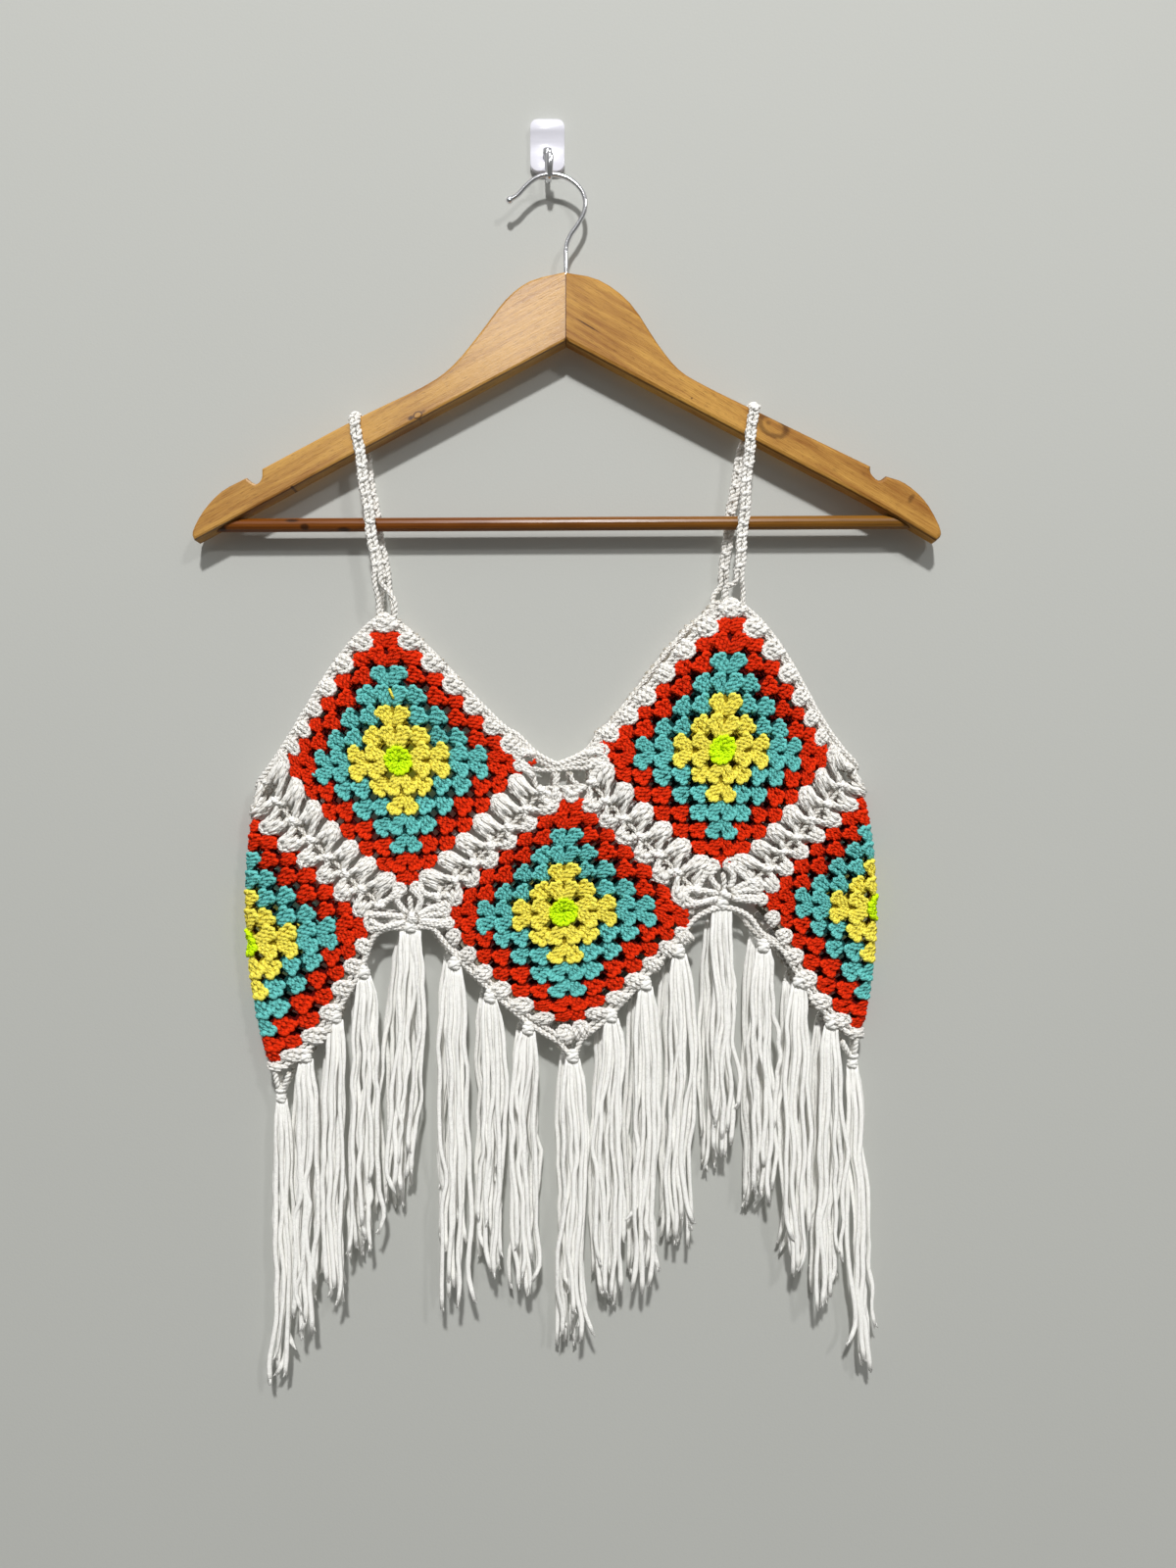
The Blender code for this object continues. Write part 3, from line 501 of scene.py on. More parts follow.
class Skein:
    """Collects strands, and copies of strands, into one mesh."""

    def __init__(self):
        self.points, self.deep, self.tint, self.quads, self.caps = [], [], [], [], []
        self.quad_uv, self.cap_uv, self.quad_look, self.cap_look = [], [], [], []
        self.count = 0

    def add(self, strand, points=None, look=0, tint=0.0, flip=False, shade=0.0):
        """Add a strand, or copies of it where points has a row of points for each copy."""
        points = strand.points if points is None else points
        copies = points.reshape(-1, len(strand.points), 3)
        count = len(copies)
        starts = self.count + np.arange(count) * len(strand.points)
        quads = strand.quads[:, ::-1] if flip else strand.quads
        caps = strand.caps[:, ::-1] if flip else strand.caps
        quad_uv = strand.quad_uv[:, ::-1] if flip else strand.quad_uv
        self.points.append(copies.reshape(-1, 3))
        self.deep.append(np.tile(np.clip(strand.deep + shade, 0, 1), count))
        self.tint.append(np.repeat(np.broadcast_to(tint, count), len(strand.points)))
        self.quads.append((quads[None] + starts[:, None, None]).reshape(-1, 4))
        self.caps.append((caps[None] + starts[:, None, None]).reshape(-1, caps.shape[1]))
        self.quad_uv.append(np.tile(quad_uv, (count, 1, 1)))
        self.cap_uv.append(np.tile(strand.cap_uv, (count, 1, 1)))
        looks = np.broadcast_to(look, count)
        self.quad_look.append(np.repeat(looks, len(quads)))
        self.cap_look.append(np.repeat(looks, len(caps)))
        self.count += count * len(strand.points)

    def lay(self, strands, back=False, look=0, tint=0.0, shade=0.0):
        """Add strands made as (x, z, out) of a layer laid flat."""
        for strand in strands:
            x, z, out = strand.points.T
            self.add(strand, on_tube(x, z, out, back), look, tint, back, shade)

    def mesh(self, name, looks):
        """The strands as one piece, with each point's painted shade and each strand's tint as attributes."""
        points = np.concatenate(self.points) * MM
        polygons = self.quads + self.caps
        loops = np.concatenate([p.ravel() for p in polygons])
        sizes = np.concatenate([np.full(len(p), p.shape[1]) for p in polygons])
        uvs = np.concatenate([u.reshape(-1, 2) for u in self.quad_uv + self.cap_uv])
        kinds = np.concatenate(self.quad_look + self.cap_look)
        made = bpy.data.meshes.new(name)
        made.vertices.add(len(points))
        made.vertices.foreach_set("co", points.astype(np.float32).ravel())
        made.loops.add(len(loops))
        made.loops.foreach_set("vertex_index", loops.astype(np.int32))
        made.polygons.add(len(sizes))
        made.polygons.foreach_set("loop_start", np.r_[0, np.cumsum(sizes)[:-1]].astype(np.int32))
        for look in looks:
            made.materials.append(look)
        made.polygons.foreach_set("material_index", kinds.astype(np.int32))
        made.uv_layers.new(name="Yarn").data.foreach_set("uv", uvs.astype(np.float32).ravel())
        set_numbers(made, "deep", np.concatenate(self.deep))
        set_numbers(made, "tint", np.concatenate(self.tint))
        made.update(calc_edges=True)
        made.validate()
        made.shade_smooth()
        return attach(new_object(name, made), "root")


TURN_SPREAD, SIZE_SPREAD = 0.06, 0.035  # of the copies of a stitch, in radians and as a share


def copies_on(square, side, places, strand, rng, skein, looks, tints, seam=None):
    """Put copies of a strand, made about the middle of a lattice cell, at places (along, out) of one side.

    Each copy is turned and sized a little differently. seam is a function that draws it to the seam's knots.
    """
    along, outward = square.ways(side)
    count, local = len(places), strand.points
    turn = rng.normal(0, TURN_SPREAD, count)[:, None]
    size = 1 + rng.normal(0, SIZE_SPREAD, count)[:, None]
    s = (local[:, 0] * np.cos(turn) - local[:, 1] * np.sin(turn)) * size
    n = (local[:, 0] * np.sin(turn) + local[:, 1] * np.cos(turn)) * size
    middle = np.asarray(places, float)
    m, r = middle[:, :1] * square.way + s / UNIT, middle[:, 1:] + n / UNIT
    p, q = m * along[0] + r * outward[0], m * along[1] + r * outward[1]
    spot = square.spot(p, q)
    if seam is not None:
        spot = seam(spot, square, side, m * square.way, n)
    points = on_tube(spot[..., 0], spot[..., 1], local[:, 2] * np.ones_like(s), square.back)
    skein.add(strand, points, looks, tints)


# Stitches --------------------------------------


def posts(feet, heads, rng, rise, pitch=5.2, spread=0.88, radius=None, move=None, sides=5):
    """Posts of two plies each from their feet to their heads, arched out of the cloth by rise."""
    made, radius = [], radius or settings("yarn").post / MM
    for foot, head in zip(feet, heads):
        foot, head = np.array(foot, float), np.array(head, float)
        middle = (foot + head) / 2 + (*rng.normal(0, 0.35, 2), 0)
        middle[2] += rise
        line = smooth([foot, middle, head], 30)
        if move is not None:
            line = move(line)
        wound, thick = pitch * rng.uniform(0.85, 1.2), radius * rng.uniform(0.93, 1.1)
        made += plies(line, spread, wound, thick, turn=rng.uniform(0, FULL_TURN), per_turn=3.6, sides=sides)
    return made


# A cluster at a square's corner leans to the corner, is moved that way, is narrower and is taller.
CORNER_LEAN, CORNER_SHIFT, CORNER_NARROW, CORNER_TALL = math.radians(13), 3.1, 0.76, 2.3
LOOP = ((-1.35, -2.3, 0.7), (-1.2, -0.3, 1.9), (0.1, 0.75, 2.1), (1.35, -0.3, 1.5), (1.6, -2.4, 0.4))
LOOP_THICKNESS = 1.3 * np.array([0.7, 0.95, 1.03, 1.03, 1, 0.93, 0.7])


def cluster(rng, lean=0, foot_gap=1.9, head_gap=3.5, foot=-6.3, head=3.0, sides=5, rise=1.0):
    """Three posts in one space of the round before, each under its loop. rise is how far the loops stand out.

    The gaps are between the posts' feet and heads, and foot and head are how far out these lie in the cell.
    """
    if lean:
        head_gap, head = head_gap * CORNER_NARROW, head + CORNER_TALL
    feet = [(foot_gap * k, foot + 0.5 * abs(k), -0.4) for k in (-1, 0, 1)]
    heads = [(head_gap * k + rng.normal(0, 0.2), head - 0.6 * abs(k) + rng.normal(0, 0.25), 0.0) for k in (-1, 0, 1)]
    angle = -lean * CORNER_LEAN

    def move(line):
        made, low = line.copy(), line[:, 1] - foot
        made[:, 0] = line[:, 0] * math.cos(angle) - low * math.sin(angle) - CORNER_SHIFT * lean
        made[:, 1] = line[:, 0] * math.sin(angle) + low * math.cos(angle) + foot
        return made

    made = posts(feet, heads, rng, rise=1.1, move=move, sides=sides)
    for k in (-1, 0, 1):
        turn = -0.36 * k + rng.normal(0, 0.14)
        turned_by = [[math.cos(turn), math.sin(turn)], [-math.sin(turn), math.cos(turn)]]
        loop = np.array(LOOP)
        top = (head_gap * 1.02 * k, head - 0.1 - 0.9 * abs(k))
        loop[:, :2] = loop[:, :2] @ turned_by + top + rng.normal(0, 0.2, 2)
        loop[:, 2] *= rise
        made.append(Strand(move(smooth(loop, len(LOOP_THICKNESS))), LOOP_THICKNESS, sides))
    return made


SEAM_ARM = ((2.0, -3.4, 0.9), (3.8, -0.6, 1.6), (5.5, 1.9, 1.2), (7.0, 3.8, 0.4))
SEAM_ARC = ((2.6, 2.0, 0.4), (4.6, -0.2, 0.6), (4.6, -4.0, 1.2), (0, -6.9, 1.7))


def half_turned(row):
    """Places on one side of a cluster's middle, then the same ones mirrored on the other side."""
    return [(-x, y, high) for x, y, high in row] + [(x, y, high) for x, y, high in row[-2::-1]]


def seam_cluster(rng, lean):
    """A cluster of the last round at a seam: a round lump, with an arm to the knot on each side.

    It leans to one of the two knots, where its arm is thicker.
    """
    feet = [(-2.7, -5.3, 0.1), (0.0, -6.0, 0.5), (2.7, -5.3, 0.1)]
    heads = [(-2.6, -0.6, 0.7), (0.3 * lean, 0.2, 0.9), (2.6, -0.6, 0.7)]
    made = posts(feet, heads, rng, rise=2.0, pitch=5.4, radius=1.42, spread=0.9)
    for way in (-1, 1):
        thick = 1.5 if way == lean else 1.34
        arm = [(x * way, y, high) for x, y, high in SEAM_ARM]
        made += plies(smooth(arm, 30), 0.86, 6.2, thick, turn=rng.uniform(0, FULL_TURN), per_turn=4)
    arc = smooth(half_turned(SEAM_ARC), 40)
    return made + plies(arc, 0.54, 6.0, 1.15, turn=rng.uniform(0, FULL_TURN), per_turn=4)


EDGE_ARC = [(-5.0, 2.2, 0.2), (-4.4, -1.6, 0.7), (-3.7, -5.0, 1.3), (0.1, -7.2, 1.7)]
EDGE_ARC += [(3.8, -5.0, 1.3), (4.5, -1.6, 0.7), (5.1, 2.2, 0.2)]


def edge_cluster(rng):
    """A cluster of the last round at an edge: a round lump, whose posts end under the edging."""
    feet = [(-2.7, -5.2, 0.2), (0.1, -6.2, 0.5), (2.8, -5.2, 0.2)]
    heads = [(-3.6, 2.6, 0.0), (0.2, 3.0, 0.2), (3.8, 2.6, 0.0)]
    made = posts(feet, heads, rng, rise=1.9, radius=1.36, spread=0.9)
    arc = smooth(EDGE_ARC, 40)
    return made + plies(arc, 0.5, 5.8, 1.12, turn=rng.uniform(0, FULL_TURN), per_turn=3.8)


def knot_lump(rng, size=1.0):
    """A small knot: three short fat strands wrapped across each other."""
    made = []
    for k, high in ((0, 0.9), (1, 1.3), (2, 1.7)):
        turn = rng.uniform(0, math.pi / 3) + k * math.pi / 3
        way = np.array([math.cos(turn), math.sin(turn)])
        side = np.array([-way[1], way[0]]) * rng.uniform(-0.6, 0.6)
        places = ((-2.3, 0.1), (-1.2, high), (1.2, high), (2.3, 0.1))
        line = smooth(np.array([(*(way * along + side), out) for along, out in places]) * size, 6)
        made.append(Strand(line, 1.05 * size * np.array([0.6, 1, 1, 1, 1, 0.6]), 5))
    return made


def moved(strands, step):
    """The strands, moved by a step."""
    for strand in strands:
        strand.points += step
    return strands


def seam_blend(knots):
    """Draw the outer part of a seam's clusters to the seam's knots, which both squares share."""

    def blend(spot, square, side, m, n):
        """Moved spots of a side's cluster, m along in lattice units and n out in its cell in millimetres."""
        row = knots[square.name, side]
        at = np.clip((m + SEAM_REACH) / 2, -0.2, len(row) - 1 + 0.2)
        low = np.clip(np.floor(at).astype(int), 0, len(row) - 2)
        share = (at - low)[..., None]
        line = row[low] * (1 - share) + row[low + 1] * share
        inward = square.spot(0, 0) - line
        inward /= np.linalg.norm(inward, axis=-1)[..., None]
        wanted = line + inward * (UNIT / 2 - n)[..., None] * 0.9
        weight = np.clip((n + 4.0) / 6.5, 0, 1)[..., None]
        weight = weight * weight * (3 - 2 * weight)
        return spot * (1 - weight) + wanted * weight

    return blend


def stitch_kinds(rng, sides):
    """Variants of each kind of cluster. The last coloured round lies low, under the white one."""
    return {
        "centre": [cluster(rng, foot_gap=0.9, head_gap=3.2, foot=-3.0, head=3.0, sides=sides) for _ in range(2)],
        "coloured": [cluster(rng, sides=sides) for _ in range(6)],
        "last_at_edge": [cluster(rng, head=2.0, sides=sides, rise=0.15) for _ in range(4)],
        "last_low": [cluster(rng, -1, head=0.8, sides=sides, rise=0.15) for _ in range(2)],
        "last_high": [cluster(rng, 1, head=0.8, sides=sides, rise=0.15) for _ in range(2)],
        "last_at_seam": [cluster(rng, head=1.6, foot=-6.0, sides=sides, rise=0.4) for _ in range(4)],
        "corner_low": [cluster(rng, -1, sides=sides) for _ in range(3)],
        "corner_high": [cluster(rng, 1, sides=sides) for _ in range(3)],
        "seam_low": [seam_cluster(rng, -1) for _ in range(3)],
        "seam_high": [seam_cluster(rng, 1) for _ in range(3)],
        "edge": [edge_cluster(rng) for _ in range(3)],
    }


def square_stitches(square, seams, drawn_up):
    """All the yarn of one square. drawn_up says that its seam stitches lean to the upper knots."""
    rng = np.random.default_rng(hash_of(square.name))
    skein = Skein()
    picks = {}
    for side in range(4):
        free = side in square.free
        row = seams.get((square.name, side))
        lean = 0
        if row is not None:
            upper = 1 if row[-1][1] > row[0][1] else -1
            lean = (upper if drawn_up else -upper) * square.way
        for r in range(1, ROUNDS + 1):
            for m in range(-(r - 1), r, 2):
                out = r - 0.5
                if r == ROUNDS and abs(m) == r - 1 and (side, m > 0) in square.by_hand:
                    continue
                if r == 1:
                    kind = "centre"
                elif r == ROUNDS:
                    kind = "edge" if free else "seam_high" if lean > 0 else "seam_low"
                    if free:
                        out = square.reach[side] + (HEM_DROP if square.at_hem else 0.0)
                elif abs(m) == r - 1:
                    family = "last_" if r == ROUNDS - 1 else "corner_"
                    kind = family + ("high" if m * square.way > 0 else "low")
                elif r == ROUNDS - 1:
                    kind = "last_at_edge" if free else "last_at_seam"
                else:
                    kind = "coloured"
                look = LOOKS.index(ROUND_LOOKS[r - 1])
                picks.setdefault((kind, side), []).append((m, out, look, int(rng.integers(60))))
    kinds = stitch_kinds(rng, 4 if square.name.startswith("back") else 5)
    for (kind, side), rows in picks.items():
        variants = kinds[kind]
        for number, strands in enumerate(variants):
            mine = [row for row in rows if row[3] % len(variants) == number]
            if not mine:
                continue
            places, looks = [row[:2] for row in mine], [row[2] for row in mine]
            tints, state = rng.normal(0, 1, len(mine)), rng.bit_generator.state
            seam = seam_blend(seams) if kind.startswith("seam") else None
            for strand in strands:
                rng.bit_generator.state = state
                copies_on(square, side, places, strand, rng, skein, looks, tints, seam=seam)
    for name, line in LOOSE_ENDS.get(square.name, ()):
        end = Strand(smooth(line, len(LOOSE_THICKNESS)), LOOSE_THICKNESS)
        skein.lay([end], look=LOOKS.index(name))
    return skein


# Short loose ends of yarn that stand up from a square, as x, z and how far out.
LOOSE_ENDS = {
    "front_left": [
        ("yellow", [(-93.0, -330.0, 2.2), (-91.8, -331.8, 4.2), (-90.8, -334.2, 3.8), (-90.2, -335.8, 2.6)]),
        ("orange", [(-10.6, -373.2, 2.0), (-8.0, -374.4, 3.8), (-5.9, -373.4, 2.4)]),
        ("orange", [(-9.4, -375.8, 2.0), (-7.6, -373.6, 4.2), (-6.9, -371.6, 2.4)]),
        ("teal", [(-138.3, -380.2, 2.4), (-137.2, -381.0, 4.2), (-136.1, -381.9, 2.6)]),
    ],
    "side_left": [("white", [(-145.6, -431.4, 2.0), (-144.2, -433.6, 4.2), (-144.9, -436.4, 3.2)])],
}
LOOSE_THICKNESS = 0.85 * np.array([0.6, 1, 1, 1, 1, 1, 0.9, 0.7])


def hash_of(text):
    """A number that is the same on every run for the same text."""
    total = 7
    for letter in text:
        total = (total * 131 + ord(letter)) % 1000003
    return total


# The web inside a square's stitches: how far it reaches at a seam and at an edge, in lattice units, how far its
# outermost lines stay inside that, and how far in its two faces lie, in millimetres.
GROUND_REACH = {SEAM_REACH: 6.8, FREE_REACH: 7.3}
GROUND_MARGIN, GROUND_GAP = 0.03, 0.15
GROUND_OUTER, GROUND_INNER = -0.5, -1.2
GROUND_CORNER = 5.9  # lattice units both ways from which the web's corners are left out


def square_ground(square, looks):
    """The thin web inside a square's stitches, with a hole at each space between clusters, coloured all in painted
    shade.
    """
    lines = []
    steps = np.arange(-SEAM_REACH, SEAM_REACH, 0.5) + 0.25
    for sides in ((3, 1), (2, 0)):
        low, high = (GROUND_REACH[square.reach[side]] for side in sides)
        inner = steps[(steps > -low + GROUND_GAP) & (steps < high - GROUND_GAP)]
        lines.append(np.array([-low + GROUND_MARGIN, *inner, high - GROUND_MARGIN]))
    ps, qs = np.meshgrid(*lines, indexing="ij")
    holes = set()
    for side, (along, outward) in enumerate(SIDE_WAYS):
        for r in range(2, ROUNDS):
            for m in range(-(r - 2), r - 1, 2):
                p = m * along[0] + (r - 0.5) * outward[0]
                q = m * along[1] + (r - 0.5) * outward[1]
                i = int(np.argmin(abs((lines[0][1:] + lines[0][:-1]) / 2 - p)))
                j = int(np.argmin(abs((lines[1][1:] + lines[1][:-1]) / 2 - q)))
                holes.add((i, j))
                for di, dj in ((0, 0), (0, 1), (1, 0), (1, 1)):
                    ps[i + di, j + dj] -= outward[0] * 0.2
                    qs[i + di, j + dj] -= outward[1] * 0.2
    rows, columns = len(lines[0]), len(lines[1])
    faces, kinds = [], []
    for i in range(rows - 1):
        for j in range(columns - 1):
            nearest = min(abs(lines[0][i : i + 2]).min(), abs(lines[1][j : j + 2]).min())
            if (i, j) in holes or nearest > GROUND_CORNER:
                continue
            a = i * columns + j
            faces.append((a, a + columns, a + columns + 1, a + 1))
            middle = max(abs(lines[0][i] + lines[0][i + 1]), abs(lines[1][j] + lines[1][j + 1])) / 2
            kinds.append(LOOKS.index(ROUND_LOOKS[min(ROUNDS - 1, int(middle + 0.2))]))
    outer = square.point(ps.ravel(), qs.ravel(), GROUND_OUTER)
    inner = square.point(ps.ravel(), qs.ravel(), GROUND_INNER)
    count = len(outer)
    used = {}
    for face in faces:
        for a, b in zip(face, face[1:] + face[:1]):
            used[a, b] = used.get((a, b), 0) + 1
    rim = [(b, a, a + count, b + count) for a, b in used if (b, a) not in used]
    below = [tuple(k + count for k in reversed(face)) for face in faces]
    every = faces + below + rim
    kinds = kinds + kinds + [kinds[0]] * len(rim)
    if square.way < 0:
        every = [tuple(reversed(face)) for face in every]
    made = bpy.data.meshes.new("web_" + square.name)
    made.from_pydata((np.vstack([outer, inner]) * MM).tolist(), [], every)
    for look in looks:
        made.materials.append(look)
    made.polygons.foreach_set("material_index", np.array(kinds, np.int32))
    # Painted shade: every point of the web takes the full painted shade colour, and a tint of -8 darkens it further.
    set_numbers(made, "deep", np.full(len(made.vertices), 1.0))
    set_numbers(made, "tint", np.full(len(made.vertices), -8.0))
    made.uv_layers.new(name="Yarn")
    made.update()
    piece = new_object("web_" + square.name, made)
    clear_loose(piece)
    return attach(piece, "root")


def clear_loose(piece):
    """Remove the points that no face uses."""
    take(piece)
    bpy.ops.object.mode_set(mode="EDIT")
    bpy.ops.mesh.select_all(action="SELECT")
    bpy.ops.mesh.delete_loose()
    bpy.ops.object.mode_set(mode="OBJECT")
    piece.select_set(False)


KNOT_SHIFT = 2.6  # how much nearer the lower square the knots of a seam lie

# The knots at the ends of the seams, at the neck for each of the squares that meet there and at the flowers.
SEAM_ENDS = {
    "neck_left": (-7.2, -379.5),
    "neck_right": (25.4, -378.6),
    "neck_below": (9.5, -388.4),
    "left_flower": (-78.0, -465.9),
    "right_flower": (104.2, -452.9),
}


def seam_rows(squares):
    """For each square's side at a seam, its nine knots in the order of its own way along."""
    pairs = []
    for layer, edge_side in (("front", 2), ("back", 3)):
        pairs += [
            (layer, "left", 0, "centre", 3, "neck_left", "neck_below", "left_flower"),
            (layer, "right", 0, "centre", 2, "neck_right", "neck_below", "right_flower"),
            (layer, "left", 3, "side_left", edge_side, "", "", "left_flower"),
            (layer, "right", 3, "side_right", edge_side, "", "", "right_flower"),
        ]
    rows = {}
    ms = np.arange(-SEAM_REACH, SEAM_REACH + 1, 2)
    for layer, one, one_side, other, other_side, one_end, other_end, flower in pairs:
        back = layer == "back"
        a = squares[f"{layer}_{one}"]
        b = squares[other] if other.startswith("side") else squares[f"{layer}_{other}"]
        bend = back and other.startswith("side")
        side_name = other.partition("_")[2]
        found = []
        for square, side in ((a, one_side), (b, other_side)):
            along, outward = SIDE_WAYS[side]
            across = (ms * a_ + SEAM_REACH * o_ for a_, o_ in zip(along, outward))
            line = square.spot(*across)
            found.append(mirrored(side_name, line) if bend and square is b else line)
        turned = np.linalg.norm(found[0][0] - found[1][0]) > np.linalg.norm(found[0][0] - found[1][-1])
        other_line = found[1][::-1] if turned else found[1]
        shared = (found[0] + other_line) / 2
        lower = mirrored(side_name, b.spot(0, 0)) if bend else b.spot(0, 0)
        inward = lower - shared
        shared = shared + inward / np.linalg.norm(inward, axis=1)[:, None] * KNOT_SHIFT
        flower_spot = np.array(SEAM_ENDS[flower]) + back_step(flower, back)
        at_start = np.linalg.norm(shared[0] - flower_spot) < np.linalg.norm(shared[-1] - flower_spot)
        end, start = (0, -1) if at_start else (-1, 0)
        mine, theirs = shared.copy(), shared.copy()
        for row, key in ((mine, one_end), (theirs, other_end)):
            row[end] = flower_spot
            if key:
                row[start] = np.array(SEAM_ENDS[key]) + back_step("neck", back)
        rows[a.name, one_side] = eased(mine)
        theirs = eased(theirs)
        if turned:
            theirs = theirs[::-1]
        rows[b.name, other_side] = mirrored(side_name, theirs) if bend else theirs
    return rows


def eased(row):
    """A row of knots with the second from each end moved towards the middle of its neighbours."""
    made = row.copy()
    made[1] = row[1] * 0.75 + (row[0] + row[2]) / 2 * 0.25
    made[-2] = row[-2] * 0.75 + (row[-1] + row[-3]) / 2 * 0.25
    return made


# Flowers and the web at the neck ---------------

FLOWER_KNOTS = {"left": (-79.4, -465.8), "right": (106.0, -451.8)}
# Petals of a flower, from its knot: the wide end's middle and width, then each arm's bend and end. An arm that
# ends in "left seam" or "right seam" goes to the next knot of that seam.
FLOWER_PETALS = [
    ((-7.2, 18.0), 7.4, [[(-9.3, 10.6), (-3.2, 2.6)], [(-11.5, 12.4), "left seam"]]),
    ((2.2, 18.6), 7.4, [[(5.4, 11.2), (2.2, 3.2)], [(7.4, 14.2), "right seam"]]),
    ((-1.4, 12.2), 2.6, [[(-1.2, 8.0), (-0.6, 3.0)]]),
    ((-25.4, -2.0), 11.5, [[(-17.4, 2.2), (-3.6, 0.8)], [(-17.4, -5.2), (-3.6, -2.0)]]),
    ((19.8, 5.6), 8.4, [[(12.5, 6.4), (3.4, 2.0)], [(12.5, 3.0), (3.6, 0.6)]]),
    ((22.0, -2.8), 5.6, [[(14.5, -2.2), (3.8, -1.0)], [(14.5, -3.4), (4.0, -2.0)]]),
]
# The same for the web at the neck, from the layer's own origin.
NECK_PETALS = [
    ((-17.2, -368.6), 6.6, [[(-11.6, -367.4), (-6.4, -369.2)]]),
    ((-16.4, -374.8), 6.4, [[(-11.0, -376.0), (-5.2, -377.8)], [(-11.0, -378.4), (-7.4, -382.0)]]),
    ((34.0, -366.4), 6.8, [[(29.0, -367.0), (23.6, -368.2)]]),
    ((34.0, -372.6), 6.6, [[(29.4, -374.6), (24.2, -377.0)], [(29.6, -377.6), (26.0, -384.0)]]),
    ((5.6, -394.6), 6.8, [[(1.4, -391.6), (-3.6, -389.8)], [(5.4, -391.0), (5.0, -387.6)]]),
    ((14.6, -394.2), 6.8, [[(13.0, -391.0), (10.8, -388.0)], [(17.6, -390.6), (22.8, -387.4)]]),
]
# Single posts and chains of the neck's web, as their places.
NECK_POSTS = [
    [(-7.8, -380.4), (-6.0, -388.6)],
    [(6.0, -378.6), (4.4, -387.6)],
    [(7.2, -379.4), (5.8, -387.6)],
    [(14.2, -379.0), (15.6, -384.4), (20.0, -387.0)],
    [(26.4, -377.6), (26.4, -386.4)],
]
NECK_CHAINS = [
    [(-16.9, -374.4), (-6.7, -377.7), (-0.1, -378.1), (6.5, -378.1), (15.7, -376.8), (25.0, -376.8), (33.2, -372.4)],
    [(7.2, -377.0), (15.7, -374.3), (25.6, -373.0), (33.8, -369.2)],
    [(-6.6, -389.6), (3.9, -388.2), (10.5, -388.4), (18.4, -387.6), (26.6, -387.2)],
]


PETAL_OUT = 0.3  # how far out of the layer's middle a petal's ends lie
# The loop round a petal's wide end: across as a share of half its width, along, and out.
PETAL_ARC = ((-1.0, 2.6, 0.0), (-0.86, -0.4, 1.1), (0, -2.3, 1.4), (0.86, -0.4, 1.1), (1.0, 2.6, 0.0))


def petal(base, wide, arms, rng):
    """A cluster of a flower: a full rounded end, from which its posts draw together into its arms.

    A narrow one is a single post.
    """
    base = np.array(base, float)
    ends = np.array([arm[-1] for arm in arms], float)
    way = np.mean([np.array(arm[0], float) for arm in arms], axis=0) - base
    way /= np.linalg.norm(way)
    side = np.array([way[1], -way[0]])
    reach = (ends - base) @ side
    order = np.argsort(reach)
    count = 1 if wide < 4 else 3
    made = []
    for k in range(count):
        # share is the post's place across the petal, from -1 to 1.
        share = 0.0 if count == 1 else k / (count - 1) * 2 - 1
        number = order[0] if share < -0.1 else order[-1] if share > 0.1 else order[rng.integers(len(order))]
        bend, end = np.array(arms[number][0], float), ends[number]
        foot = base + side * share * (wide / 2 - 1.7) - way * (0.6 if share == 0 else 0.0)
        near = foot + way * 2.6
        bend = bend + rng.normal(0, 0.25, 2) + side * share * 0.5
        line = [(*foot, PETAL_OUT), (*near, PETAL_OUT + 1.5), (*bend, PETAL_OUT + 1.1), (*end, PETAL_OUT + 0.4)]
        thick = 1.36 if count > 1 else 1.05
        pitch, turn = rng.uniform(4.8, 5.6), rng.uniform(0, ANY_TURN)
        made += plies(smooth(line, 30), 0.86, pitch, thick, turn=turn, per_turn=4.5)
    if count > 1:
        arc = [(*(base + side * a * (wide / 2) + way * b), PETAL_OUT + high) for a, b, high in PETAL_ARC]
        made += plies(smooth(arc, 30), 0.55, 5.6, 1.12, turn=rng.uniform(0, ANY_TURN), per_turn=4.5)
    return made


def placed_petals(rows, at, seams, rng):
    """Petals whose places are counted from a point, with their seam arms ended at the seams' own knots."""
    made = []
    for base, wide, arms in rows:
        arms = [[seams[p.partition(" ")[0]] if isinstance(p, str) else np.add(p, at) for p in arm] for arm in arms]
        made += petal(np.add(base, at), wide, arms, rng)
    return made


def from_knot(row, knot):
    """A row of places in the order that starts at the end nearer to a knot."""
    return row[::-1] if np.hypot(*(row[-1] - knot)) < np.hypot(*(row[0] - knot)) else row


